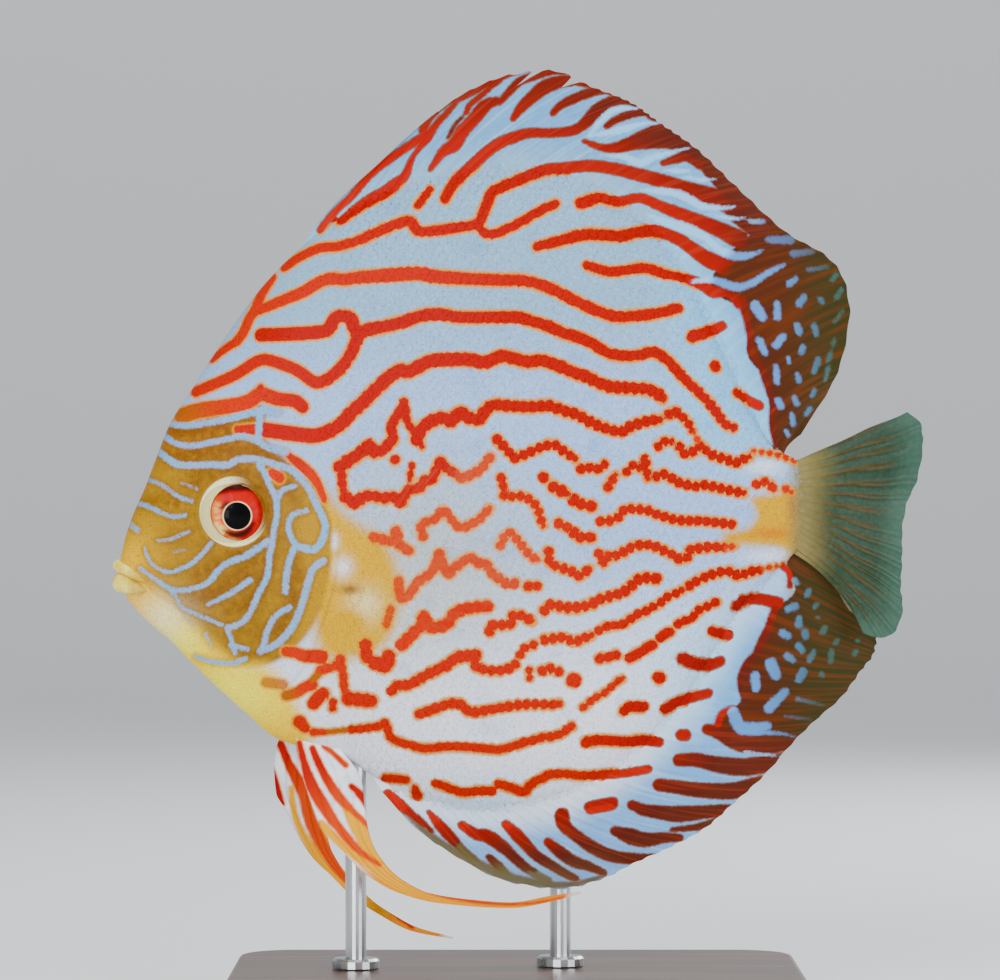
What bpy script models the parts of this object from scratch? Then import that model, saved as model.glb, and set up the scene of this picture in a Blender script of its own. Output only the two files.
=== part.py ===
"""A life-size model of a discus fish, swimming level, held by two rods on a flat base.

The snout points to -X, the fish's left side faces -Y and the dorsal fin is up. The origin is on
the underside of the base, below the middle of the fish. Sizes are in millimetres up to the last
step, which writes metres. A place on the fish is given by L, the distance behind the foremost
lip, and H, the height above the body's axis.
"""

import math

import bmesh
import bpy
import numpy as np

MM = 0.001

# The whole fish and its stand
FISH_LENGTH = 169.5
AXIS_HEIGHT = 102.25
GAP = 0.3

# Profile of the body from the snout to the root of the tail, as (L, H)
BACK = [
    (1.4, -9.5), (2.5, -4.2), (4.2, 1.0), (6.7, 6.7), (8.8, 12.2), (12.0, 20.2), (16.2, 26.9),
    (23.5, 38.2), (31.3, 48.9), (39.9, 57.5), (49.8, 64.5), (60.3, 69.3), (70.8, 71.8),
    (81.3, 73.1), (91.8, 72.5), (102.3, 68.9), (110.7, 62.6), (118.0, 54.2), (124.3, 43.1),
    (129.6, 31.5), (134.2, 22.1), (139.0, 15.3), (143.9, 12.8),
]
BELLY = [
    (1.4, -12.2), (2.9, -16.2), (4.6, -18.5), (7.8, -21.8), (12.0, -25.2), (16.2, -29.6),
    (27.7, -40.3), (34.4, -45.8), (47.7, -49.8), (57.1, -55.2), (66.6, -58.8), (77.1, -60.5),
    (89.7, -58.8), (102.3, -53.6), (112.8, -45.2), (121.2, -35.7), (126.4, -26.3),
    (131.7, -17.9), (136.9, -12.6), (141.1, -9.0), (143.9, -5.9),
]
# Where each cross-section is widest, how wide it is there, and how blunt its upper and lower rims are
WIDEST_LEVEL = [
    (0.0, -10.6), (12.0, -6.0), (26.0, 0.0), (45.0, -2.0), (80.0, 0.0), (120.0, 3.0), (143.9, 3.4),
]
HALF_WIDTH = [
    (1.4, 2.5), (3.0, 3.9), (6.0, 5.3), (12.0, 7.6), (26.0, 11.2), (45.0, 14.8), (70.0, 15.0),
    (102.0, 11.6), (118.0, 8.6), (130.0, 6.2), (140.0, 4.4), (143.9, 2.9),
]
RIM_HALF_WIDTH = [(1.4, 0.3), (30.0, 0.5), (50.0, 1.2), (143.9, 1.3)]
FLANK_POWER = [(1.4, 0.5), (30.0, 0.62), (60.0, 0.8), (125.0, 0.72), (143.9, 0.5)]
BODY_START = BACK[0][0]
BODY_END = BACK[-1][0]
BODY_STATIONS = 40
BODY_SIDES = 36

# Edge of the gill opening, carried up to the nape and down to the throat
GILL_EDGE = [
    (33.4, 60.0), (33.4, 48.3), (34.0, 37.8), (36.1, 25.2), (39.6, 13.9), (45.4, 6.3),
    (48.2, -2.1), (47.7, -10.5), (45.6, -18.9), (42.4, -27.3), (37.4, -35.7), (32.4, -41.2),
    (29.0, -50.0),
]
GILL_STEPS = 26
TAIL_CUT = 134.0
# The gill cover's plate: its rows from top to bottom as H, front edge and rear edge
COVER_ROWS = [
    (10.5, 37.8, 41.4), (5.0, 37.5, 46.0), (-2.1, 37.2, 47.8), (-10.5, 36.4, 47.3),
    (-18.9, 34.8, 45.1), (-27.3, 32.0, 41.9), (-35.0, 29.8, 37.4),
]
COVER_LIFT = 0.55
COVER_DEPTH = 1.3

# Eye, nostril and mouth
EYE_L, EYE_H = 26.0, 1.2
EYE_RADIUS = 7.4
EYE_HALF_DEPTH = 4.2
EYE_CENTRE_Y = 8.6
NOSTRIL_L, NOSTRIL_H = 13.6, 3.0
NOSTRIL_RADIUS = 0.75
NOSTRIL_DEPTH = 1.1
JAW_OUTLINE = [
    (-5.0, -10.9), (1.2, -11.0), (3.6, -12.3), (7.1, -13.6), (9.9, -16.8), (12.4, -22.0),
    (13.2, -32.0), (-5.0, -32.0),
]
MOUTH_CORNER_L, MOUTH_FRONT_L = 7.3, 1.35
MOUTH_HALF_WIDTH = 5.3
# Each lip's level at the front and the corners, its depth and half its height in front, its corner radius
UPPER_LIP = (-9.5, -12.85, 1.35, 1.3, 0.75)
LOWER_LIP = (-13.1, -14.75, 1.4, 2.05, 0.8)

# Rays of the unpaired fins: L (or, on the tail, H) of the foot, then L and H of the tip
DORSAL_RAYS = [
    (39.9, 43.1, 62.4), (42.4, 47.7, 67.4), (45.6, 54.4, 73.5), (49.8, 67.4, 85.1),
    (55.0, 75.0, 90.3), (60.3, 83.6, 93.7), (65.5, 92.2, 94.7), (70.8, 100.2, 91.4),
    (81.3, 109.0, 87.8), (91.8, 114.9, 83.6), (102.3, 122.6, 78.1), (110.7, 131.3, 69.7),
    (118.0, 141.8, 60.1), (124.3, 150.6, 54.8), (127.5, 153.7, 50.2), (130.6, 154.8, 43.7),
    (134.2, 153.1, 33.6), (136.9, 151.0, 28.4), (139.0, 148.0, 23.5), (140.6, 144.3, 17.9),
]
ANAL_RAYS = [
    (54.6, 56.9, -57.4), (57.1, 63.4, -64.5), (61.5, 70.8, -69.9), (66.6, 83.4, -76.2),
    (71.8, 93.9, -77.7), (77.1, 102.3, -75.8), (83.4, 109.6, -72.2), (89.7, 117.4, -68.7),
    (96.0, 124.3, -64.9), (102.3, 130.6, -59.4), (108.0, 136.9, -53.6), (112.8, 143.2, -46.4),
    (117.0, 148.0, -41.8), (121.2, 153.3, -37.2), (126.4, 157.3, -31.9), (131.7, 160.2, -28.1),
    (136.9, 160.8, -24.6), (142.3, 159.0, -20.5),
]
TAIL_RAYS = [
    (12.2, 166.3, 22.7), (11.2, 169.1, 20.0), (9.2, 169.5, 15.8), (7.2, 168.4, 8.4),
    (5.2, 166.3, 3.2), (3.2, 165.3, -3.2), (1.2, 165.3, -8.4), (-0.8, 165.1, -13.7),
    (-2.8, 165.5, -17.9), (-4.2, 163.8, -23.1), (-4.9, 160.7, -24.6), (-5.4, 157.3, -23.9),
]
DORSAL_COUNT, ANAL_COUNT, TAIL_COUNT = 41, 36, 16
DORSAL_SPINES, ANAL_SPINES = 10, 8
ROOT_DEPTH = 1.6
WEB_HALF_THICKNESS = 0.27
ROOT_THICKENING = 0.3
RAY_RIDGE = 0.24
SPINE_LAPPET, RAY_LAPPET = 1.5, 0.4
RAY_BOW, LAST_ANAL_BOW, LAST_TAIL_BOW = 0.16, -0.45, 0.35
# How far the edges of the fins wave to the side, and how far the ends of the tail and anal fin swing
DORSAL_WAVE, ANAL_WAVE, TAIL_WAVE = 1.6, 1.2, 0.5
TAIL_SWING, ANAL_SWING = -7.5, 3.8
ANAL_SWING_START, ANAL_SWING_END = 132.0, 160.0

# Fans of the pectoral fins, as angle above level and length of a ray
PECTORAL_L, PECTORAL_H = 50.2, -14.6
PECTORAL_FOOT = 5.2
PECTORAL_RAYS = [(56.0, 25.0), (45.0, 34.0), (30.0, 37.5), (12.0, 36.0), (-7.0, 31.0), (-24.0, 22.0)]
PECTORAL_COUNT = 12
PECTORAL_SPREAD = 20.0
PECTORAL_CUP = 0.8
PECTORAL_ROOT_DEPTH = 1.2

# Pelvic fins as front edge and rear edge from root to the end of the streamer, as (L, H)
PELVIC_LEFT_FRONT = [
    (38.4, -45.0), (40.0, -53.6), (41.8, -58.8), (44.5, -65.1), (48.7, -69.3), (52.9, -73.5),
    (60.3, -77.7), (68.7, -79.8), (83.4, -80.8), (93.0, -79.2), (98.1, -77.8),
]
PELVIC_LEFT_REAR = [
    (47.2, -47.0), (52.3, -54.6), (53.1, -60.9), (54.4, -66.8), (57.1, -71.4), (60.7, -74.8),
    (66.6, -77.7), (75.0, -79.0), (83.4, -79.6), (92.6, -78.1), (98.1, -77.4),
]
PELVIC_RIGHT_FRONT = [
    (35.6, -43.0), (33.6, -51.5), (34.0, -57.8), (35.7, -60.9), (38.2, -66.2), (41.4, -71.4),
    (45.6, -75.6), (49.8, -79.8), (56.1, -84.0), (62.4, -87.2), (71.2, -88.9),
]
PELVIC_RIGHT_REAR = [
    (44.5, -46.0), (45.4, -52.0), (44.6, -58.8), (44.3, -63.5), (45.2, -68.9), (47.3, -73.1),
    (50.8, -77.3), (54.4, -80.9), (58.4, -83.6), (63.6, -86.4), (71.2, -88.5),
]
PELVIC_ROOT_Y = 2.4
PELVIC_SPREAD_LEFT, PELVIC_SPREAD_RIGHT = 6.0, 8.0
PELVIC_COUNT = 6

# Stand
BASE_LENGTH, BASE_WIDTH, BASE_THICKNESS = 120.0, 90.0, 8.0
BASE_CORNER, BASE_EDGE = 12.0, 1.2
ROD_DIAMETER = 4.4
ROD_FOOT_DIAMETER, ROD_FOOT_HEIGHT = 10.0, 2.0
# Each rod's place, and a level inside the body up to which it is drawn before it is cut to the belly
FRONT_ROD = (51.0, 0.0, -45.0)
REAR_ROD = (94.0, 5.6, -42.0)


def spline(points):
    """A smooth curve through points of rising first number, with no overshoot between them."""
    table = np.array(points, dtype=float)
    x, y = table[:, 0], table[:, 1]
    step = np.diff(x)
    slope = np.diff(y) / step
    tangent = np.zeros(len(x))
    tangent[0], tangent[-1] = slope[0], slope[-1]
    for i in range(1, len(x) - 1):
        if slope[i - 1] * slope[i] > 0:
            before = step[i] * 2 + step[i - 1]
            after = step[i] + step[i - 1] * 2
            tangent[i] = (before + after) / (before / slope[i - 1] + after / slope[i])

    def value(at):
        at = min(max(at, x[0]), x[-1])
        i = min(int(np.searchsorted(x, at, side="right")) - 1, len(x) - 2)
        t = (at - x[i]) / step[i]
        rise = (1 + 2 * t) * (1 - t) ** 2 * y[i] + t * t * (3 - 2 * t) * y[i + 1]
        return rise + step[i] * t * (1 - t) * ((1 - t) * tangent[i] - t * tangent[i + 1])

    return value


def path(points):
    """A smooth path through points in the side view, as a function of the share of its length."""
    table = np.array(points, dtype=float)
    run = np.concatenate([[0.0], np.cumsum(np.linalg.norm(np.diff(table, axis=0), axis=1))])
    run /= run[-1]
    parts = [spline(list(zip(run, column))) for column in table.T]
    return lambda share: tuple(part(share) for part in parts)


back_at = spline(BACK)
belly_at = spline(BELLY)
level_at = spline(WIDEST_LEVEL)
width_at = spline(HALF_WIDTH)
rim_at = spline(RIM_HALF_WIDTH)
power_at = spline(FLANK_POWER)


def flank_width(l, share):
    """Half the body's thickness at a share of the way from its widest level to its rim."""
    return rim_at(l) + (width_at(l) - rim_at(l)) * (1 - share ** 2) ** power_at(l)


def half_width(l, h):
    """Half the body's thickness at a place of the side view."""
    level = level_at(l)
    edge = back_at(l) if h > level else belly_at(l)
    return flank_width(l, min(abs((h - level) / (edge - level)), 1.0))


def place(l, y, h):
    """From a place on the fish to the model's frame, in metres."""
    return ((l - FISH_LENGTH / 2) * MM, y * MM, (h + AXIS_HEIGHT) * MM)


def material(name, colour, roughness, metallic=0.0):
    finish = bpy.data.materials.new(name)
    finish.use_nodes = True
    shader = finish.node_tree.nodes["Principled BSDF"]
    shader.inputs["Base Color"].default_value = (*colour, 1.0)
    shader.inputs["Roughness"].default_value = roughness
    shader.inputs["Metallic"].default_value = metallic
    return finish


def new_object(name, bm):
    """Turns a bmesh into an object whose faces point outwards."""
    bmesh.ops.recalc_face_normals(bm, faces=bm.faces)
    if bm.calc_volume(signed=True) < 0:
        bmesh.ops.reverse_faces(bm, faces=bm.faces)
    mesh = bpy.data.meshes.new(name)
    bm.to_mesh(mesh)
    bm.free()
    piece = bpy.data.objects.new(name, mesh)
    bpy.context.scene.collection.objects.link(piece)
    return piece


def closed_surfaces(bm):
    """The faces of each separate surface of a mesh."""
    left = set(bm.faces)
    while left:
        front = [left.pop()]
        surface = list(front)
        while front:
            face = front.pop()
            for edge in face.edges:
                for other in edge.link_faces:
                    if other in left:
                        left.remove(other)
                        front.append(other)
                        surface.append(other)
        yield surface


def settle(piece):
    """Applies a piece's modifiers and keeps only its largest closed surface."""
    graph = bpy.context.evaluated_depsgraph_get()
    mesh = bpy.data.meshes.new_from_object(piece.evaluated_get(graph))
    piece.modifiers.clear()
    piece.data = mesh
    bm = bmesh.new()
    bm.from_mesh(mesh)
    surfaces = sorted(closed_surfaces(bm), key=lambda faces: sum(face.calc_area() for face in faces))
    scraps = [face for surface in surfaces[:-1] for face in surface]
    bmesh.ops.delete(bm, geom=scraps, context="FACES")
    bmesh.ops.triangulate(bm, faces=bm.faces)
    bm.to_mesh(mesh)
    bm.free()


def cut(piece, cutter, operation="DIFFERENCE"):
    """Cuts a piece with a cutter, or keeps what they share, and removes the cutter."""
    change = piece.modifiers.new("Cut", "BOOLEAN")
    change.operation = operation
    change.object = cutter
    bpy.context.view_layer.update()
    settle(piece)
    bpy.data.objects.remove(cutter)


def body_form(name, grow=0.0):
    """The whole body: a ball pulled into the fish's shape, or that shape grown by a gap."""
    bm = bmesh.new()
    bmesh.ops.create_uvsphere(bm, u_segments=BODY_SIDES, v_segments=BODY_STATIONS, radius=1.0)
    for vert in bm.verts:
        across, up, along = vert.co
        l = BODY_START + (BODY_END - BODY_START) * (1 + along) / 2
        share = abs(math.sin(math.atan2(up, across)))
        level = level_at(l)
        edge = back_at(l) + grow if up > 0 else belly_at(l) - grow
        on_pole = math.hypot(across, up) < 1e-4
        side = 0.0 if on_pole or share > 0.9999 else math.copysign(1.0, across)
        h = level if on_pole else level + (edge - level) * share
        end = grow * along if abs(along) > 0.99 else 0.0
        vert.co = place(l + end, side * (flank_width(l, share) + grow), h)
    return new_object(name, bm)


def prism(name, outline, grow=0.0):
    """A block with the given outline in the side view, right through the fish."""
    points = np.array(outline, dtype=float)
    ahead = np.roll(points, -1, axis=0) - points
    ahead /= np.linalg.norm(ahead, axis=1)[:, None]
    behind = np.roll(ahead, 1, axis=0)
    area = np.sum(points[:, 0] * np.roll(points[:, 1], -1) - points[:, 1] * np.roll(points[:, 0], -1))
    out_ahead = np.column_stack([ahead[:, 1], -ahead[:, 0]]) * np.sign(area)
    out_behind = np.column_stack([behind[:, 1], -behind[:, 0]]) * np.sign(area)
    middle = out_ahead + out_behind
    points += grow * 2 * middle / np.sum(middle ** 2, axis=1)[:, None]
    reach = 40.0
    bm = bmesh.new()
    face = bm.faces.new([bm.verts.new(place(l, -reach, h)) for l, h in points])
    side = bmesh.ops.extrude_face_region(bm, geom=[face], use_keep_orig=True)
    moved = [item for item in side["geom"] if isinstance(item, bmesh.types.BMVert)]
    bmesh.ops.translate(bm, verts=moved, vec=(0, 2 * reach * MM, 0))
    return new_object(name, bm)


def sheet(name, columns, rows, shape):
    """A closed sheet: a flat grid given two faces, each vertex then put at shape(u, v, side)."""
    bm = bmesh.new()
    bmesh.ops.create_grid(bm, x_segments=columns, y_segments=rows, size=1.0)
    bmesh.ops.triangulate(bm, faces=bm.faces, quad_method="FIXED")
    front = list(bm.verts)
    layer = bmesh.ops.extrude_face_region(bm, geom=bm.faces[:], use_keep_orig=True)
    rear = [item for item in layer["geom"] if isinstance(item, bmesh.types.BMVert)]
    for verts, side in ((front, -1.0), (rear, 1.0)):
        for vert in verts:
            u = (vert.co.x + 1) / 2
            v = (vert.co.y + 1) / 2
            vert.co = place(*shape(u, v, side))
    return new_object(name, bm)


def ellipsoid(name, centre, radii, segments=20, rings=12):
    bm = bmesh.new()
    bmesh.ops.create_uvsphere(bm, u_segments=segments, v_segments=rings, radius=1.0)
    for vert in bm.verts:
        vert.co = place(*(middle + radius * part for middle, radius, part in zip(centre, radii, vert.co)))
    return new_object(name, bm)


def shoulder_outline():
    edge = path(GILL_EDGE)
    return [edge(i / GILL_STEPS) for i in range(GILL_STEPS + 1)] + [(170.0, -90.0), (170.0, 110.0)]


def tail_outline():
    return [(TAIL_CUT, -60.0), (170.0, -60.0), (170.0, 60.0), (TAIL_CUT, 60.0)]


def cover_form(name, side, margin=0.0):
    """The gill cover's plate, or with a margin the pocket that it lies in."""
    rows = list(reversed(COVER_ROWS))
    front_at = spline([(h, front) for h, front, rear in rows])
    rear_at = spline([(h, rear) for h, front, rear in rows])
    low, high = rows[0][0] - margin, rows[-1][0] + margin

    def shape(u, v, face):
        h = low + (high - low) * v
        rounding = 0.16 * (rear_at(h) - front_at(h)) * abs(2 * v - 1) ** 6
        start = front_at(h) - margin + rounding
        end = rear_at(h) + margin * 4 - rounding
        l = start + (end - start) * u
        surface = half_width(l, h)
        outer = surface + 0.1 + COVER_LIFT * u + margin * 6
        inner = surface - COVER_DEPTH - margin
        return l, side * (outer if face > 0 else inner), h

    return sheet(name, 5, 10, shape)


def head(body):
    piece = body.copy()
    piece.data = body.data.copy()
    piece.name = "head"
    bpy.context.scene.collection.objects.link(piece)
    cut(piece, prism("shoulder_cutter", shoulder_outline(), GAP))
    cut(piece, prism("jaw_cutter", JAW_OUTLINE, GAP))
    for side in (-1.0, 1.0):
        socket = (EYE_RADIUS + GAP, EYE_HALF_DEPTH + GAP, EYE_RADIUS + GAP)
        cut(piece, ellipsoid("socket_cutter", (EYE_L, side * EYE_CENTRE_Y, EYE_H), socket))
        cut(piece, cover_form("pocket_cutter", side, GAP))
        centre = (NOSTRIL_L, side * half_width(NOSTRIL_L, NOSTRIL_H), NOSTRIL_H)
        pit = (NOSTRIL_RADIUS, NOSTRIL_DEPTH, NOSTRIL_RADIUS)
        cut(piece, ellipsoid("nostril_cutter", centre, pit, 10, 8))
    return piece


def body_part(name, body, outline, keep=True):
    """What the body shares with the block of an outline, as a piece of its own."""
    piece = body.copy()
    piece.data = body.data.copy()
    piece.name = name
    bpy.context.scene.collection.objects.link(piece)
    cut(piece, prism("outline_cutter", outline), "INTERSECT" if keep else "DIFFERENCE")
    return piece


def lip(name, front_h, corner_h, depth, half_height, corner_radius):
    """A rolled lip: a ball drawn out from one corner of the mouth round the snout to the other."""
    bm = bmesh.new()
    bmesh.ops.create_uvsphere(bm, u_segments=10, v_segments=18, radius=1.0)
    for vert in bm.verts:
        turn = math.asin(max(-1.0, min(1.0, vert.co.z)))
        bend = math.cos(turn)
        spin = math.atan2(vert.co.y, vert.co.x)
        on_end = math.hypot(vert.co.x, vert.co.y) < 1e-4
        l = MOUTH_CORNER_L - (MOUTH_CORNER_L - MOUTH_FRONT_L) * bend
        y = MOUTH_HALF_WIDTH * math.sin(turn)
        h = corner_h + (front_h - corner_h) * bend
        out = (corner_radius + (depth - corner_radius) * bend) * math.cos(spin)
        up = (corner_radius + (half_height - corner_radius) * bend) * math.sin(spin)
        if on_end:
            out = up = 0.0
        vert.co = place(l - out * bend, y + out * math.sin(turn), h + up)
    return new_object(name, bm)


def on_ray(u, count):
    """1 on a ray and 0 in the web halfway between two of them."""
    return 1 - round(u * 2 * (count - 1)) % 2


def half_thickness(u, v, count):
    """Half the thickness of a fin at a share u across its rays and v along them."""
    ridge = RAY_RIDGE * (1 - 0.55 * v) * on_ray(u, count)
    return WEB_HALF_THICKNESS + ROOT_THICKENING * (1 - v) ** 2 + ridge


def fan(name, rays, count, spines, rows, foot_at, bow_at, sway):
    """A fin whose rays run from feet to tips, given by a few of its rays."""
    first, last = rays[0][0], rays[-1][0]
    rising = sorted(rays)
    tip_l = spline([(foot, l) for foot, l, h in rising])
    tip_h = spline([(foot, h) for foot, l, h in rising])
    spiny = (spines - 0.5) / (count - 1)

    def shape(u, v, face):
        foot = first + (last - first) * u
        root_l, root_h, up = foot_at(foot)
        reach_l, reach_h = tip_l(foot) - root_l, tip_h(foot) - root_h
        length = math.hypot(reach_l, reach_h)
        lappet = SPINE_LAPPET if 0.08 < u < spiny + 0.1 else RAY_LAPPET
        reach = 1 - (1 - on_ray(u, count)) * lappet / length
        along = v * reach
        bow = bow_at(u) * along * (1 - along)
        l = root_l + reach_l * along - bow * abs(reach_h)
        h = root_h + reach_h * along + bow * abs(reach_l) * up
        sink = ROOT_DEPTH * (1 - v) ** 8
        return l, sway(l, v) + face * half_thickness(u, v, count), h - sink * up

    return sheet(name, 2 * (count - 1), rows, shape)


def dorsal_fin():
    def sway(l, v):
        return DORSAL_WAVE * v * v * math.sin(l / 13.0)

    def foot_at(l):
        return l, back_at(l), 1.0

    def bow_at(u):
        return RAY_BOW

    return fan("dorsal_fin", DORSAL_RAYS, DORSAL_COUNT, DORSAL_SPINES, 5, foot_at, bow_at, sway)


def anal_fin():
    def sway(l, v):
        behind = (l - ANAL_SWING_START) / (ANAL_SWING_END - ANAL_SWING_START)
        behind = min(max(behind, 0.0), 1.0)
        return ANAL_WAVE * v * v * math.sin(l / 14.0) * (1 - behind) + ANAL_SWING * behind ** 2

    def foot_at(l):
        return l, belly_at(l), -1.0

    def bow_at(u):
        return RAY_BOW + (LAST_ANAL_BOW - RAY_BOW) * u ** 12

    return fan("anal_fin", ANAL_RAYS, ANAL_COUNT, ANAL_SPINES, 5, foot_at, bow_at, sway)


def caudal_fin():
    tip_l = spline([(-foot, l) for foot, l, h in TAIL_RAYS])
    tip_h = spline([(-foot, h) for foot, l, h in TAIL_RAYS])
    top, bottom = TAIL_RAYS[0][0], TAIL_RAYS[-1][0]

    def shape(u, v, face):
        foot = top + (bottom - top) * u
        reach_l, reach_h = tip_l(-foot) - BODY_END, tip_h(-foot) - foot
        bow = LAST_TAIL_BOW * v * (1 - v) * u ** 6
        l = BODY_END - 1.0 + (reach_l + 1.0) * v + bow * abs(reach_h)
        h = foot + reach_h * v + bow * abs(reach_l)
        behind = max(l - BODY_END, 0.0) / (FISH_LENGTH - BODY_END)
        y = TAIL_SWING * behind ** 1.4 + TAIL_WAVE * v * math.sin(h / 3.2)
        return l, y + face * half_thickness(u, v, TAIL_COUNT), h

    return sheet("caudal_fin", 2 * (TAIL_COUNT - 1), 5, shape)


def pectoral_fin(name, side):
    turn_at = spline([(i / (len(PECTORAL_RAYS) - 1), ray[0]) for i, ray in enumerate(PECTORAL_RAYS)])
    length_at = spline([(i / (len(PECTORAL_RAYS) - 1), ray[1]) for i, ray in enumerate(PECTORAL_RAYS)])
    root_y = half_width(PECTORAL_L, PECTORAL_H) - PECTORAL_ROOT_DEPTH
    spread = math.radians(PECTORAL_SPREAD)

    def shape(u, v, face):
        turn = math.radians(turn_at(u))
        run = length_at(u) * v
        out = run * math.sin(spread) * (1 - 0.35 * v)
        l = PECTORAL_L + run * math.cos(turn) * math.cos(spread)
        h = PECTORAL_H + PECTORAL_FOOT * (0.5 - u) + run * math.sin(turn)
        cup = PECTORAL_CUP * v * (1 - (2 * u - 1) ** 2)
        y = root_y + out - cup + face * half_thickness(u, v, PECTORAL_COUNT)
        return l, side * y, h

    return sheet(name, 2 * (PECTORAL_COUNT - 1), 5, shape)


def pelvic_fin(name, side, front, rear, spread):
    front_at, rear_at = path(front), path(rear)

    def shape(u, v, face):
        along = v ** 0.9
        ahead, behind = front_at(along), rear_at(along)
        l = ahead[0] + (behind[0] - ahead[0]) * u
        h = ahead[1] + (behind[1] - ahead[1]) * u
        out = PELVIC_ROOT_Y + spread * (1 - (1 - min(v * 1.6, 1.0)) ** 2)
        return l, side * out + face * half_thickness(u, v, PELVIC_COUNT), h

    return sheet(name, 2 * (PELVIC_COUNT - 1), 16, shape)


def stand_base():
    bm = bmesh.new()
    bmesh.ops.create_cube(bm, size=1.0)
    size = (BASE_LENGTH * MM, BASE_WIDTH * MM, BASE_THICKNESS * MM)
    bmesh.ops.scale(bm, vec=size, verts=bm.verts)
    bmesh.ops.translate(bm, vec=(0, 0, BASE_THICKNESS * MM / 2), verts=bm.verts)
    upright = [edge for edge in bm.edges if abs(edge.verts[0].co.z - edge.verts[1].co.z) > MM]
    bmesh.ops.bevel(
        bm, geom=upright, offset=BASE_CORNER * MM, affect="EDGES", segments=8, profile=0.5, material=-1
    )
    lid = max(bm.faces, key=lambda face: face.calc_center_median().z)
    bmesh.ops.bevel(
        bm, geom=list(lid.edges), offset=BASE_EDGE * MM, affect="EDGES", segments=3, profile=0.5, material=-1
    )
    return new_object("stand_base", bm)


def stand_rod(name, l, y, top_h):
    """A round rod on a small foot, standing on the base and reaching up into the body's place."""
    bottom = BASE_THICKNESS + GAP - AXIS_HEIGHT
    rings = [
        (bottom, ROD_FOOT_DIAMETER), (bottom + ROD_FOOT_HEIGHT - 0.5, ROD_FOOT_DIAMETER),
        (bottom + ROD_FOOT_HEIGHT, ROD_FOOT_DIAMETER - 1.0), (bottom + ROD_FOOT_HEIGHT, ROD_DIAMETER),
        (top_h, ROD_DIAMETER),
    ]
    bm = bmesh.new()
    centre_x, centre_y, _ = place(l, y, 0)
    profile = [bm.verts.new((centre_x + d / 2 * MM, centre_y, (h + AXIS_HEIGHT) * MM)) for h, d in rings]
    edges = [bm.edges.new(pair) for pair in zip(profile, profile[1:])]
    bmesh.ops.spin(
        bm, geom=profile + edges, cent=(centre_x, centre_y, 0), axis=(0, 0, 1),
        angle=math.tau, steps=20, use_merge=True,
    )
    bmesh.ops.remove_doubles(bm, verts=bm.verts, dist=1e-7)
    bmesh.ops.holes_fill(bm, edges=[edge for edge in bm.edges if edge.is_boundary], sides=0)
    return new_object(name, bm)


def main():
    for old in list(bpy.data.objects):
        bpy.data.objects.remove(old)
    body = body_form("body")
    pieces = {"head": head(body)}
    pieces["torso"] = body_part("torso", body, shoulder_outline())
    cut(pieces["torso"], prism("tail_cutter", tail_outline(), GAP))
    pieces["tail_base"] = body_part("tail_base", body, tail_outline())
    pieces["jaw"] = body_part("jaw", body, JAW_OUTLINE)
    bpy.data.objects.remove(body)
    pieces["lip_upper"] = lip("lip_upper", *UPPER_LIP)
    pieces["lip_lower"] = lip("lip_lower", *LOWER_LIP)
    pieces["dorsal_fin"] = dorsal_fin()
    pieces["anal_fin"] = anal_fin()
    pieces["caudal_fin"] = caudal_fin()
    for word, side in (("left", -1.0), ("right", 1.0)):
        eye = (EYE_RADIUS, EYE_HALF_DEPTH, EYE_RADIUS)
        pieces["eye_" + word] = ellipsoid("eye_" + word, (EYE_L, side * EYE_CENTRE_Y, EYE_H), eye)
        pieces["gill_cover_" + word] = cover_form("gill_cover_" + word, side)
        pieces["pectoral_fin_" + word] = pectoral_fin("pectoral_fin_" + word, side)
    pieces["pelvic_fin_left"] = pelvic_fin(
        "pelvic_fin_left", -1.0, PELVIC_LEFT_FRONT, PELVIC_LEFT_REAR, PELVIC_SPREAD_LEFT
    )
    pieces["pelvic_fin_right"] = pelvic_fin(
        "pelvic_fin_right", 1.0, PELVIC_RIGHT_FRONT, PELVIC_RIGHT_REAR, PELVIC_SPREAD_RIGHT
    )
    pieces["stand_base"] = stand_base()
    pieces["stand_rod_front"] = stand_rod("stand_rod_front", *FRONT_ROD)
    pieces["stand_rod_rear"] = stand_rod("stand_rod_rear", *REAR_ROD)
    rooted = [name for name in pieces if name.startswith(("lip_", "stand_rod_")) or name.endswith("_fin")]
    rooted += [name for name in pieces if "_fin_" in name]
    for name in rooted:
        cut(pieces[name], body_form("grown_body", GAP))
    finish(pieces)


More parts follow.
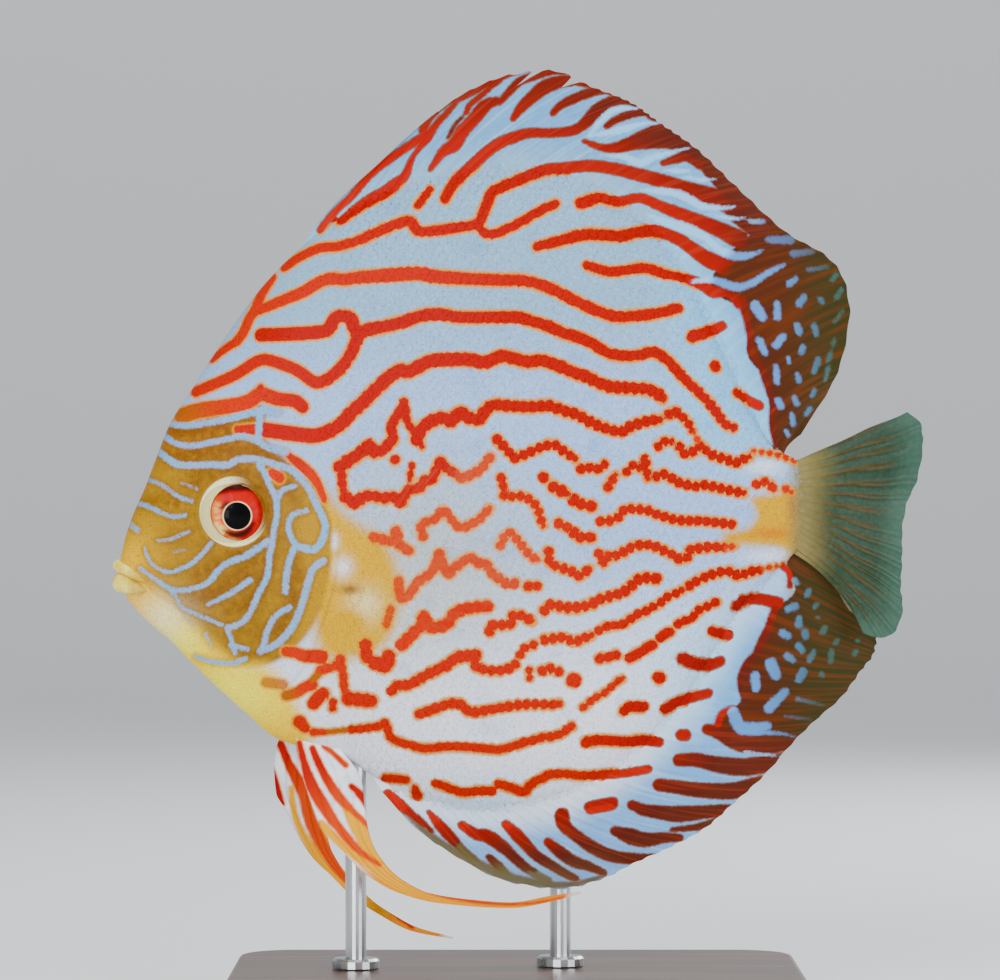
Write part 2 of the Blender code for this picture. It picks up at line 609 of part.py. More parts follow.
def finish(pieces):
    """Gives each piece its own colour and smooth shading."""
    flesh = (0.50, 0.58, 0.70)
    colours = {
        "head": ((0.55, 0.30, 0.08), 0.4), "jaw": ((0.80, 0.70, 0.32), 0.4),
        "lip_upper": ((0.82, 0.72, 0.50), 0.45), "lip_lower": ((0.82, 0.74, 0.45), 0.45),
        "eye_left": ((0.60, 0.03, 0.02), 0.08), "eye_right": ((0.60, 0.03, 0.02), 0.08),
        "gill_cover_left": ((0.56, 0.36, 0.12), 0.4), "gill_cover_right": ((0.56, 0.36, 0.12), 0.4),
        "torso": (flesh, 0.4), "tail_base": ((0.72, 0.45, 0.16), 0.4),
        "dorsal_fin": ((0.55, 0.22, 0.14), 0.45), "anal_fin": ((0.48, 0.20, 0.12), 0.45),
        "caudal_fin": ((0.30, 0.36, 0.30), 0.4),
        "pectoral_fin_left": ((0.70, 0.66, 0.50), 0.35), "pectoral_fin_right": ((0.70, 0.66, 0.50), 0.35),
        "pelvic_fin_left": ((0.85, 0.36, 0.05), 0.4), "pelvic_fin_right": ((0.85, 0.36, 0.05), 0.4),
        "stand_base": ((0.10, 0.05, 0.03), 0.35),
        "stand_rod_front": ((0.62, 0.62, 0.60), 0.3), "stand_rod_rear": ((0.62, 0.62, 0.60), 0.3),
    }
    for name, piece in pieces.items():
        colour, roughness = colours[name]
        metallic = 1.0 if name.startswith("stand_rod") else 0.0
        piece.data.materials.clear()
        piece.data.materials.append(material(name + "_finish", colour, roughness, metallic))
        piece.data.shade_smooth()
        piece.data.set_sharp_from_angle(angle=math.radians(35))


main()
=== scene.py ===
# %% [markdown]
# A life-size discus fish, dressed for a museum case. The solid model comes in as a fixed frame, and
# every visible piece is built around it here. All lengths are in millimetres until a mesh is written,
# because a fish is easiest to think about in millimetres, while Blender works in metres.

# %% Load the frame
import math

import bmesh
import bpy
import numpy as np
from mathutils import Matrix, Vector


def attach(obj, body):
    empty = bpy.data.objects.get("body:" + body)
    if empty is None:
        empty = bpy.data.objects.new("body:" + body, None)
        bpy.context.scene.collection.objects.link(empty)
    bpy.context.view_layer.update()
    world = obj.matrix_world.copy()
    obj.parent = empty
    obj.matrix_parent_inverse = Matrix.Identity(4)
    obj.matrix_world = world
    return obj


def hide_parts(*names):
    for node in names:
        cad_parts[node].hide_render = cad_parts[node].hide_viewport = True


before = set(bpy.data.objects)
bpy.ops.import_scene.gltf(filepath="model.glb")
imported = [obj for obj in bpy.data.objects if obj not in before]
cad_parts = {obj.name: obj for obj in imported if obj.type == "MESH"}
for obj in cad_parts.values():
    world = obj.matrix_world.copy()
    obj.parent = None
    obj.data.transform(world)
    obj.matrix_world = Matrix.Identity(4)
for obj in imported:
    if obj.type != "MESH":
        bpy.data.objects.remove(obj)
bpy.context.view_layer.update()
print("solid pieces:", len(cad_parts))

# %% [markdown]
# A place on the fish has two numbers: L, how far it lies behind the foremost lip, and H, how high it
# lies above the body's axis. The photo shows the left side square on, so one scale and one offset turn
# a pixel into L and H. That way a marking can be written down where it is seen.

# %% Places on the fish and in the photo
MM = 0.001
FISH_LENGTH = 169.5
AXIS_HEIGHT = 102.25
PHOTO_SIZE = (1000, 980)
MM_PER_PIXEL = 0.21
LIP_PIXEL, AXIS_PIXEL = 113.0, 520.0
LEFT, RIGHT = -1.0, 1.0


def on_fish(pixels):
    """Turns rows of photo pixels into rows of L and H."""
    pixels = np.asarray(pixels, dtype=float)
    return np.column_stack([pixels[:, 0] - LIP_PIXEL, AXIS_PIXEL - pixels[:, 1]]) * MM_PER_PIXEL


def place(l, y, h):
    """Rows of x, y and z in metres from places on the fish and distances from its middle plane."""
    return np.column_stack([l - FISH_LENGTH / 2, y + 0 * l, h + AXIS_HEIGHT]) * MM


# %% [markdown]
# The camera looks square at the left side through a long lens, which keeps the thin body's far rim
# and near flank at one size, as the photo does. Its distance follows from the lens: a 180 mm lens on
# a 36 mm sensor sees a field one fifth as wide as it is far away.

# %% Camera
LENS, SENSOR = 180.0, 36.0
view_width = PHOTO_SIZE[0] * MM_PER_PIXEL
view_middle = on_fish([(PHOTO_SIZE[0] / 2, PHOTO_SIZE[1] / 2)])[0]
camera = bpy.data.objects.new("camera", bpy.data.cameras.new("camera"))
camera.data.lens, camera.data.sensor_width = LENS, SENSOR
camera.data.clip_start, camera.data.clip_end = 0.01, 20.0
camera.location = place(view_middle[0], -view_width * LENS / SENSOR, view_middle[1])[0]
camera.rotation_euler = (math.radians(90), 0, 0)
bpy.context.scene.collection.objects.link(camera)
bpy.context.scene.camera = camera
print("camera stands", round(-camera.location.y, 3), "m away, at height", round(camera.location.z, 3))


# %% [markdown]
# Every piece ends as a mesh whose object sits at the origin. A bmesh operator makes the net of faces,
# then one array sets where its points lie. A mirrored net turns inside out, so the volume is
# measured, and a negative one flips the faces.

# %% Helpers for meshes
def to_mesh(name, bm):
    """An object at the origin from a finished bmesh."""
    mesh = bpy.data.meshes.new(name)
    bm.to_mesh(mesh)
    bm.free()
    piece = bpy.data.objects.new(name, mesh)
    bpy.context.scene.collection.objects.link(piece)
    return piece


def points_of(piece):
    """The points of a mesh as rows."""
    co = np.zeros(len(piece.data.vertices) * 3)
    piece.data.vertices.foreach_get("co", co)
    return co.reshape(-1, 3)


def volume_of(piece):
    """The signed volume inside a closed mesh, in cubic millimetres."""
    mesh = piece.data
    mesh.calc_loop_triangles()
    corners = np.zeros(len(mesh.loop_triangles) * 3, dtype=np.int32)
    mesh.loop_triangles.foreach_get("vertices", corners)
    a, b, c = points_of(piece)[corners].reshape(-1, 3, 3).transpose(1, 0, 2) / MM
    return float(np.sum(a * np.cross(b, c)) / 6)


def shape_to(piece, points, sharp=None):
    """Moves a mesh's points to the given rows, with faces outwards and smooth shading."""
    piece.data.vertices.foreach_set("co", np.ascontiguousarray(points, dtype=np.float32).ravel())
    piece.data.update()
    if volume_of(piece) < 0:
        piece.data.flip_normals()
    piece.data.shade_smooth()
    if sharp is not None:
        piece.data.set_sharp_from_angle(angle=math.radians(sharp))
    faces = len(piece.data.loop_triangles)
    print(piece.name, "has", faces, "triangles and", round(volume_of(piece) / 1000, 3), "cubic centimetres")
    return piece


def store(piece, **values):
    """Keeps one number, or one colour, for each point of a mesh, for the shader to read."""
    for name, value in values.items():
        value = np.asarray(value, dtype=np.float32)
        if value.ndim == 1:
            piece.data.attributes.new(name, "FLOAT", "POINT").data.foreach_set("value", value)
        else:
            piece.data.attributes.new(name, "FLOAT_COLOR", "POINT").data.foreach_set("color", value.ravel())


def whole_numbers(collection, name):
    """One whole number for each item of a mesh's collection."""
    values = np.zeros(len(collection), dtype=np.int32)
    collection.foreach_get(name, values)
    return values


def face_rows(mesh):
    """The point of every face corner, the first corner of every face, and each corner's face."""
    start, total = whole_numbers(mesh.polygons, "loop_start"), whole_numbers(mesh.polygons, "loop_total")
    return whole_numbers(mesh.loops, "vertex_index"), start, np.repeat(np.arange(len(start)), total)


def write_map(piece, u, v):
    """Writes a flat map from one pair of numbers a face corner."""
    uv = np.column_stack([u, v]).astype(np.float32)
    piece.data.uv_layers.new(name="OFBake").data.foreach_set("uv", uv.ravel())


def unwrap(piece, u, v):
    """Writes a flat map from one pair of numbers a point."""
    corner, _, _ = face_rows(piece.data)
    write_map(piece, u[corner], v[corner])


def unwrap_round(piece, u, v, steps):
    """Writes a flat map that goes round in u: the faces over its seam are closed on the far side."""
    corner, start, face = face_rows(piece.data)
    across = u[corner]
    wide = np.maximum.reduceat(across, start) - np.minimum.reduceat(across, start) > 0.5
    across = across + (wide[face] & (across < 0.5))
    write_map(piece, across / (1 + 1 / steps), v[corner])


def dress(piece, finish, slot, *nodes):
    """Gives a piece its material and hides the solid nodes that it stands for. The slot is not used."""
    piece.data.materials.clear()
    piece.data.materials.append(finish)
    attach(piece, "root")
    if nodes:
        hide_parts(*nodes)


# %% [markdown]
# The stage is one pale sheet that runs back from below the fish and sweeps up behind it, so that no
# corner shows. A grid is the plainest start: its second direction is laid along floor, bend and wall.

# %% Stage
SWEEP_FRONT, SWEEP_BACK, SWEEP_RADIUS, SWEEP_TOP, SWEEP_HALF_WIDTH = -4.0, 1.6, 0.5, 2.6, 4.0
SWEEP_STRIPS = 240


def sweep_line(run):
    """Y and Z in metres after a run along floor, bend and wall."""
    floor = SWEEP_BACK - SWEEP_FRONT
    turn = np.clip((run - floor) / SWEEP_RADIUS, 0, math.pi / 2)
    rise = np.maximum(run - floor - SWEEP_RADIUS * math.pi / 2, 0)
    y = SWEEP_FRONT + np.minimum(run, floor) + SWEEP_RADIUS * np.sin(turn)
    return y, SWEEP_RADIUS * (1 - np.cos(turn)) + rise


bm = bmesh.new()
bmesh.ops.create_grid(bm, x_segments=2, y_segments=SWEEP_STRIPS, size=1.0)
backdrop = to_mesh("backdrop", bm)
rows = points_of(backdrop)
full_run = SWEEP_BACK - SWEEP_FRONT + SWEEP_RADIUS * math.pi / 2 + SWEEP_TOP
sweep_y, sweep_z = sweep_line((rows[:, 1] + 1) / 2 * full_run)
sheet_points = np.column_stack([rows[:, 0] * SWEEP_HALF_WIDTH, sweep_y, sweep_z])
backdrop.data.vertices.foreach_set("co", sheet_points.astype(np.float32).ravel())
backdrop.data.shade_smooth()
backdrop.data.update()


# %% [markdown]
# Light is soft and comes mostly from the front and above, as from the two lamps of a photo tank. One
# lamp stands behind, so that the clear fins glow at their rims.

# %% Lights
MIDDLE = (0.0, 0.0, AXIS_HEIGHT * MM)
WARM, PLAIN, COOL = (1.0, 0.98, 0.96), (1.0, 1.0, 1.0), (0.96, 0.98, 1.0)
AIR_COLOUR, AIR_STRENGTH = (0.86, 0.90, 0.94, 1), 0.22


def lamp(name, where, size, power, colour=PLAIN):
    """A square lamp, aimed at the middle of the fish. Its size is in metres and its power in watts."""
    data = bpy.data.lights.new(name, "AREA")
    data.shape, data.size, data.energy, data.color = "SQUARE", size, power, colour
    light = bpy.data.objects.new(name, data)
    light.location = where
    light.rotation_euler = (Vector(MIDDLE) - Vector(where)).to_track_quat("-Z", "Y").to_euler()
    bpy.context.scene.collection.objects.link(light)


lamp("key_light", (-0.45, -1.1, 0.7), size=0.7, power=12.0, colour=WARM)
lamp("fill_light", (0.95, -0.95, 0.35), size=0.7, power=10.5, colour=COOL)
lamp("top_light", (0.05, -0.1, 0.95), size=0.5, power=3.6)
lamp("low_light", (-0.45, -0.95, 0.05), size=0.4, power=6.5)
lamp("back_light", (0.45, 0.6, 0.5), size=0.5, power=5.0)
world = bpy.data.worlds.new("studio")
bpy.context.scene.world = world
world.use_nodes = True
air = world.node_tree.nodes["Background"].inputs
air["Color"].default_value, air["Strength"].default_value = AIR_COLOUR, AIR_STRENGTH


# %% [markdown]
# The body is a set of smooth curves: its back, its belly, how wide it is and how blunt its rims are.
# They are the curves that the solid model was made from, so the skin fits the solids without any
# fitting. Each curve passes its points with no overshoot, which keeps a profile free of bumps.

# %% Smooth curves
def curve(points):
    """A smooth curve through points of rising first number, as a function of arrays."""
    x, y = np.array(points, dtype=float).T
    step = np.diff(x)
    slope = np.diff(y) / step
    tangent = np.concatenate([slope[:1], np.zeros(len(x) - 2), slope[-1:]])
    for i in range(1, len(x) - 1):
        if slope[i - 1] * slope[i] > 0:
            before = step[i] * 2 + step[i - 1]
            after = step[i] + step[i - 1] * 2
            tangent[i] = (before + after) / (before / slope[i - 1] + after / slope[i])

    def value(at):
        at = np.clip(at, x[0], x[-1])
        i = np.clip(np.searchsorted(x, at, side="right") - 1, 0, len(x) - 2)
        t = (at - x[i]) / step[i]
        rise = (1 + 2 * t) * (1 - t) ** 2 * y[i] + t * t * (3 - 2 * t) * y[i + 1]
        return rise + step[i] * t * (1 - t) * ((1 - t) * tangent[i] - t * tangent[i + 1])

    return value


def path(points):
    """A smooth path through points, as a function of the share of its length."""
    table = np.array(points, dtype=float)
    run = np.concatenate([[0.0], np.cumsum(np.linalg.norm(np.diff(table, axis=0), axis=1))])
    parts = [curve(list(zip(run / run[-1], column))) for column in table.T]
    return lambda share: [part(share) for part in parts]


def rising(at, low, high):
    """0 below low, 1 above high, with a soft rise between."""
    t = np.clip((at - low) / (high - low), 0, 1)
    return t * t * (3 - 2 * t)


# %% The body's curves
BACK = [
    (1.4, -9.5), (2.5, -4.2), (4.2, 1.0), (6.7, 6.7), (8.8, 12.2), (12.0, 20.2), (16.2, 26.9),
    (23.5, 38.2), (31.3, 48.9), (39.9, 57.5), (49.8, 64.5), (60.3, 69.3), (70.8, 71.8),
    (81.3, 73.1), (91.8, 72.5), (102.3, 68.9), (110.7, 62.6), (118.0, 54.2), (124.3, 43.1),
    (129.6, 31.5), (134.2, 22.1), (139.0, 15.3), (143.9, 12.8),
]
BELLY = [
    (1.4, -12.2), (2.9, -16.2), (4.6, -18.5), (7.8, -21.8), (12.0, -25.2), (16.2, -29.6),
    (27.7, -40.3), (34.4, -45.8), (47.7, -49.8), (57.1, -55.2), (66.6, -58.8), (77.1, -60.5),
    (89.7, -58.8), (102.3, -53.6), (112.8, -45.2), (121.2, -35.7), (126.4, -26.3),
    (131.7, -17.9), (136.9, -12.6), (141.1, -9.0), (143.9, -5.9),
]
WIDEST_LEVEL = [
    (0.0, -10.6), (12.0, -6.0), (26.0, 0.0), (45.0, -2.0), (80.0, 0.0), (120.0, 3.0), (143.9, 3.4),
]
HALF_WIDTH = [
    (1.4, 2.5), (3.0, 3.9), (6.0, 5.3), (12.0, 7.6), (26.0, 11.2), (45.0, 14.8), (70.0, 15.0),
    (102.0, 11.6), (118.0, 8.6), (130.0, 6.2), (140.0, 4.4), (143.9, 2.9),
]
RIM_HALF_WIDTH = [(1.4, 0.3), (30.0, 0.5), (50.0, 1.2), (143.9, 1.3)]
FLANK_POWER = [(1.4, 0.5), (30.0, 0.62), (60.0, 0.8), (125.0, 0.72), (143.9, 0.5)]
back_at, belly_at, level_at = curve(BACK), curve(BELLY), curve(WIDEST_LEVEL)
width_at, rim_at, power_at = curve(HALF_WIDTH), curve(RIM_HALF_WIDTH), curve(FLANK_POWER)
BODY_START, BODY_END = BACK[0][0], BACK[-1][0]


def flank_width(l, share):
    """Half the body's thickness at a share of the way from its widest level to its rim."""
    bulge = (1 - np.clip(share, 0, 1) ** 2) ** power_at(l)
    return rim_at(l) + (width_at(l) - rim_at(l)) * bulge


def rim_share(l, h):
    """How far H lies from the widest level towards the rim: 1 on the rim."""
    level = level_at(l)
    edge = np.where(h > level, back_at(l), belly_at(l))
    return np.abs((h - level) / (edge - level))


def half_width(l, h):
    """Half the body's thickness at a place."""
    return flank_width(l, rim_share(l, h))


def rim_gap(l, h):
    """How far a place lies beyond the body's rim, in mm, and 0 inside the body."""
    above = h > level_at(l)
    outside = np.where(above, h - back_at(l), belly_at(l) - h)
    slope = np.where(above, back_at(l + 0.5) - back_at(l - 0.5), belly_at(l + 0.5) - belly_at(l - 0.5))
    return np.hypot(np.maximum(outside, 0) / np.sqrt(1 + slope ** 2), np.maximum(l - BODY_END, 0))


FIN_WEB, ROOT_FADE = 0.2, 2.6


def root_swell(l, gap):
    """How much thicker than its web a fin is near its root, where it leaves the body's rim."""
    return (rim_at(l) - FIN_WEB) * np.exp(-gap / ROOT_FADE)


def tail_swell(l, h):
    """How much thicker than its web the tail fin is near its root."""
    root = np.clip(half_width(np.full(l.shape, BODY_END), h) - 0.15 - FIN_WEB, 0, None)
    return root * np.exp(-np.maximum(l - BODY_END, 0.0) / ROOT_FADE)


def side_at(l, h):
    """Half the fish's thickness at any place, on the body or on the root of a fin."""
    gap = rim_gap(l, h)
    swell = np.where(l > BODY_END, tail_swell(l, h), root_swell(l, gap))
    return np.where(gap > 0, FIN_WEB + swell, half_width(l, h))


TAIL_SWING = -7.5


def tail_sway(l):
    """The tail fin bends to the fish's left."""
    return TAIL_SWING * (np.maximum(l - BODY_END, 0.0) / (FISH_LENGTH - BODY_END)) ** 1.4


GILL_EDGE = [
    (60.0, 33.4), (48.3, 33.4), (37.8, 34.0), (25.2, 36.1), (13.9, 39.6), (6.3, 45.4),
    (-2.1, 48.2), (-10.5, 47.7), (-18.9, 45.6), (-27.3, 42.4), (-35.7, 37.4), (-41.2, 32.4),
    (-50.0, 29.0),
]
gill_edge_at = curve(GILL_EDGE[::-1])
print("deepest section:", round(float(back_at(81.3) - belly_at(77.1)), 1), "mm")

# %% [markdown]
# The red lines, bars and beads are the fish's name card. They could be one painted image, but an
# image has a fixed fineness and says nothing about how the pattern is built. Here each marking is a
# brush stroke: a route, a width and a hue. For every point of a mesh the distance to the nearest
# stroke's edge is kept, and the shader cuts a crisp outline from it at any size.

# %% Brush strokes
FAR = 3.0
ROUTE_STEPS = 4


def line(route, width, hue=0.0, end_hue=None, strength=1.0):
    """A stroke along pixels of the photo, with one width or a row of them from start to end.
    Hue runs from -1, dark, over 0, red, to 1, orange. Past -1 it is olive and past 1 amber."""
    pixels = [[float(part) for part in pair.split(",")] for pair in route.split()]
    if len(pixels) == 1:
        pixels.append([pixels[0][0] + 0.5, pixels[0][1]])
    half = np.atleast_1d(width) * MM_PER_PIXEL / 2
    end_hue = hue if end_hue is None else end_hue
    return smooth_route(on_fish(pixels)), half, (hue, end_hue), strength


def smooth_route(points):
    """A finer route that bends smoothly through the same points."""
    padded = np.vstack([2 * points[0] - points[1], points, 2 * points[-1] - points[-2]])
    a, b, c, d = (padded[i:len(padded) - 3 + i, None, :] for i in range(4))
    t = (np.arange(ROUTE_STEPS) / ROUTE_STEPS)[None, :, None]
    bent = 2 * b + (c - a) * t + (2 * a - 5 * b + 4 * c - d) * t ** 2 + (3 * b - a - 3 * c + d) * t ** 3
    return np.vstack([bent.reshape(-1, 2) / 2, points[-1:]])


def nearest_on(route, l, h):
    """The distance to a route, and how far along the route its nearest place lies, in mm."""
    best = np.full(l.shape, 1e9)
    run = np.zeros(l.shape)
    passed = 0.0
    for a, b in zip(route, route[1:]):
        step = b - a
        length = max(float(np.hypot(*step)), 1e-6)
        t = np.clip(((l - a[0]) * step[0] + (h - a[1]) * step[1]) / length ** 2, 0, 1)
        gap = np.hypot(l - a[0] - t * step[0], h - a[1] - t * step[1])
        closer = gap < best
        best[closer] = gap[closer]
        run[closer] = passed + t[closer] * length
        passed += length
    return best, run


def field(strokes, l, h):
    """For each place: the distance to the nearest stroke's edge, its hue, strength and run."""
    depth = np.full(l.shape, FAR)
    hue, run = np.zeros(l.shape), np.zeros(l.shape)
    strength = np.ones(l.shape)
    for route, half, hues, strong in strokes:
        reach = max(half) + FAR
        low, high = route.min(axis=0) - reach, route.max(axis=0) + reach
        near = np.flatnonzero((l > low[0]) & (l < high[0]) & (h > low[1]) & (h < high[1]))
        gap, way = nearest_on(route, l[near], h[near])
        share = way / np.sum(np.hypot(*np.diff(route, axis=0).T))
        gap -= np.interp(share, np.linspace(0, 1, len(half)), half)
        closer = gap < depth[near]
        target = near[closer]
        depth[target] = gap[closer]
        hue[target] = hues[0] + (hues[1] - hues[0]) * share[closer]
        strength[target] = strong
        run[target] = way[closer]
    return depth, hue, strength, run


def zone(pixels, l, h):
    """The distance to the outline of an area, negative inside it."""
    outline = smooth_route(on_fish(pixels + pixels[:1]))
    gap, _ = nearest_on(outline, l, h)
    inside = np.zeros(l.shape, dtype=bool)
    for (l1, h1), (l2, h2) in zip(outline, outline[1:]):
        if h1 != h2:
            crosses = (h1 > h) != (h2 > h)
            inside ^= crosses & (l < (l2 - l1) * (h - h1) / (h2 - h1) + l1)
    return np.where(inside, -gap, gap)


# %% Lines of the back and the dorsal fin
BACK_LINES = [
    line("285,268 300,258 320,249 340,247 360,241 380,232 408,222 416,230 425,233 465,228 478,225",
         (7, 9, 9), 0.6, 0),
    line("480,222 488,203 494,192 520,180 545,170 565,168 592,166 615,169 640,175 665,182 690,190"
         " 715,198 740,208", (9, 10, 11, 12, 14, 22), 0, -0.4),
    line("480,230 490,236 512,228 540,212 555,205", 8),
    line("445,200 452,187 462,175 475,163 487,152 500,143 515,137 530,133 550,133 570,131 580,127"
         " 588,120 597,111 612,101 628,99 640,104", (8, 10, 11, 11, 11, 9, 9, 10, 14, 10, 9), 0, -0.4),
    line("430,170 435,163 443,152 455,144 462,132 475,118 486,105 497,101", (4, 8, 13, 13, 12, 13, 8), -0.1),
    line("340,222 358,208 370,200 385,192 395,184 405,176 410,163 414,155", (6, 9, 11, 11, 8, 4)),
    line("414,155 420,147 428,138 436,125 447,113 455,104", (4, 7, 6, 5)),
    line("320,230 335,212 352,196 370,175 385,163 400,152 415,142 428,134", (6, 8), 0.3, 0),
    line("423,130 430,117 445,103 462,97 480,88 500,78 520,71 535,67", (8, 8, 6, 3)),
    line("448,138 455,125 462,118", 3, -0.6), line("466,113 470,105 482,95 492,86 500,80", 5),
    line("418,206 430,190", (7, 6)),
    line("500,102 509,92 520,81 534,76 550,71 565,71", (6, 8, 8, 6), -0.1),
    line("513,119 520,109 531,98 543,88 557,82 575,80 588,84", (5, 10, 12, 14, 12, 10, 6), -0.1),
    line("553,113 561,105 575,98 590,92 605,89 612,91", (6, 9, 9, 8), -0.2),
    line("607,126 615,120 630,114 645,111 655,117", (6, 8, 9), -0.3),
    line("584,141 600,147 615,148 632,143 650,138 668,136 686,142 700,155",
         (4, 8, 14, 24, 25, 24), -0.2, -0.6),
    line("663,163 676,159 688,156 702,162", (5, 10, 16), -0.3),
    line("575,80 600,88 612,92 630,98 645,106 655,112 665,122 680,134 695,147 705,157 715,166 725,176"
         " 735,186 745,196 755,207 765,217 777,228 790,240 805,248", (5, 7, 8, 8), -0.1, -0.8),
    line("581,204 590,201 600,198 617,202 640,198 660,206 680,214 701,222 722,231 740,240",
         (11, 9, 9, 10, 13, 14, 18), 0, -0.3),
    line("537,248 560,242 583,236 600,236 620,237 637,233 656,231 676,238 690,247 704,257 723,266"
         " 746,271", (8, 10, 11, 10, 11, 12, 16, 18), 0, -0.3),
    line("587,267 600,271 614,273 643,269 666,275", (8, 9)),
    line("668,275 679,277 693,281 704,286 714,292 730,291 741,302", (7, 15), 0, -0.3),
    line("692,337 705,333 722,326", (11, 9)), line("714,366 715,368", 9),
    line("737,393 748,400 759,406", (8, 9), 0.2),
    line("712,166 735,190 758,212 780,232 800,248", (22, 26, 24, 18), -0.6, -0.8),
    line("735,212 760,232 790,262", (18, 22), -0.4, -0.8),
]
print(len(BACK_LINES), "strokes on the back")

# %% Lines of the upper flank
FLANK_LINES = [
    line("272,278 262,295 256,310 250,320 245,332 238,342", (8, 8), 1, 0.8),
    line("238,342 225,350 213,360", (7, 5), 0.6),
    line("256,312 270,307 290,299 305,293 320,284 332,280 345,281 360,279 400,276 420,275 440,279"
         " 500,282 518,282 536,285 554,292 568,299 580,305 596,312 611,317 621,318 636,317 652,315"
         " 666,312 677,309", (8, 10, 11, 12, 12, 11, 10, 10, 10, 9), 0.7, 0),
    line("263,336 300,335 328,332 335,322 340,318 352,320 358,335 370,331 400,325 420,318 440,316"
         " 460,319 500,319 518,319 532,323 546,327 562,334 586,342 607,354 625,357 639,356 652,353"
         " 664,359 673,368 684,380 707,402 723,423 732,428", (12, 9)),
    line("197,392 220,383 240,374 262,361 280,364 300,372 320,384 340,372 352,356 358,342", (9, 11), 0.6, 0),
    line("183,416 200,411 230,407 250,403 263,395 280,400 297,402 305,408", (14, 11), 1.6, 0.1),
    line("263,388 264,398", (5, 6), 0.4),
    line("265,430 300,435 320,436 340,427 352,415 370,398 385,383 400,372 410,373 430,363 450,361"
         " 470,361 485,364 500,358 514,360 527,363 541,362 555,366 571,373 586,378 598,384 611,388"
         " 629,389 646,390 657,395 661,399", (13, 11), 0.1, 0),
    line("342,467 352,460 360,455 371,446 376,453 384,450 390,445 394,440 393,428 397,419 404,408", (12, 9)),
    line("371,443 371,452", 7), line("405,403 408,420 413,430 418,438 423,447", (8, 6)),
    line("418,440 424,428 440,419 452,422 460,413 470,419 480,420 486,411 495,406 510,407 530,408"
         " 550,407 560,411 575,415 590,423 605,429 620,432 632,426 645,422 658,420", (12, 10)),
    line("668,415 673,412 680,417 686,422 691,431", (10, 7)), line("692,432 696,440 698,446", (5, 5), 0.9),
    line("396,460", 8), line("290,455 303,465 315,476 322,488 327,500", (4, 8, 8, 6, 4), 0.3, 0.9),
    line("275,473 282,478", (7, 9), 0.8), line("240,430 256,430", (6, 9), 0.5),
    line("752,451 772,454 795,461", (4, 5, 4), 1.0),
    line("343,467 345,490", 8),
    line("348,497 357,503 365,497 375,496 385,498 395,497 402,502 405,497 410,490 420,488 427,480"
         " 432,480 436,473 441,462 446,468 455,473", (11, 9)),
    line("455,473 462,478 472,475 482,468 487,462 490,458", (9, 9), 0.5, 0.7, 0.9),
    line("413,466 411,480", 5),
]
print(len(FLANK_LINES), "strokes on the upper flank")

# %% Lines of the middle of the body
MIDDLE_LINES = [
    line("376,537 382,538 393,540 398,530 400,543 411,550", (9, 9), 0.6, 0.6, 0.92),
    line("424,536 422,525 430,521 438,517 444,510 453,520 462,527 478,520 490,508", (8, 8), 0.3, 0.6, 0.92),
    line("497,440 508,452 515,458 524,455 543,447 553,445 562,451 574,459", 9),
    line("580,469 588,468 597,469 603,465", 9), line("607,487 614,475", (9, 8), 0.2),
    line("625,472 632,466 640,468 644,458 646,478", 8),
    line("655,477 661,474 668,477 676,482 693,486 702,485 722,489 742,493", 9),
    line("755,484 765,482 772,488", (8, 8), 0.4), line("785,489 790,492", (7, 6), 0.7),
    line("657,447 662,442 670,442", 8),
    line("678,447 682,453 690,453 700,446 706,452 715,457 725,459 733,463 748,457", 9),
    line("501,478 504,490 505,496 522,496 530,500 537,508 540,518 543,525", (8, 8), 0.2),
    line("558,523 568,528", (9, 9), 0.2), line("573,532 580,537 590,537", 10),
    line("543,477 544,479", 9), line("553,487 565,493", 11), line("573,500 580,504 590,506", 11),
    line("600,521 610,520 618,516 625,509 645,510 655,514 665,517 678,520 702,521 730,524", (9, 9), 0.15),
    line("500,545 505,535 512,533 518,540 530,555 536,558", (8, 8), 0.6, 0.6, 0.92),
    line("400,580 401,592 405,597 413,590 418,582 430,573 436,565 440,553 444,565 449,573 455,567"
         " 470,557 478,562 486,563 492,572 498,577 508,583 515,582", (9, 9), 0.35, 0.2, 0.9),
    line("528,585 536,585", 9), line("548,551 550,562 560,567 570,570 578,575 588,568", 9),
    line("598,553 603,562 608,555 615,555 625,550 635,545 650,545 667,552 680,559 687,555 690,549"
         " 700,548 712,547 722,547", (9, 9), 0.1, 0.3),
    line("722,547 735,546", (8, 5), 1), line("392,608 388,623", (7, 7), 0.7, 0.7, 0.92),
    line("403,643 409,637 416,630 422,624 425,615 430,625 441,625 449,621 456,611 473,606 487,605",
         (11, 11), 0.3, 0.1),
    line("490,630 492,624 510,623 513,614 521,614 532,620", 9),
    line("544,609 550,604 572,607 590,603 600,598 620,592 628,587 636,579 645,577 655,578", 10),
    line("520,653 524,647 533,643", 8), line("544,638 563,636 572,640 581,638 590,634", 9),
    line("598,629 607,625 622,623 632,616 656,604 665,597 680,590", 8),
    line("688,585 705,576 728,571 738,576 745,573 758,570", 9), line("760,569 776,566", (5, 4), 1),
    line("660,636 668,631", 9), line("677,623 691,617 699,609 715,602", 8),
]
print(len(MIDDLE_LINES), "strokes on the middle")

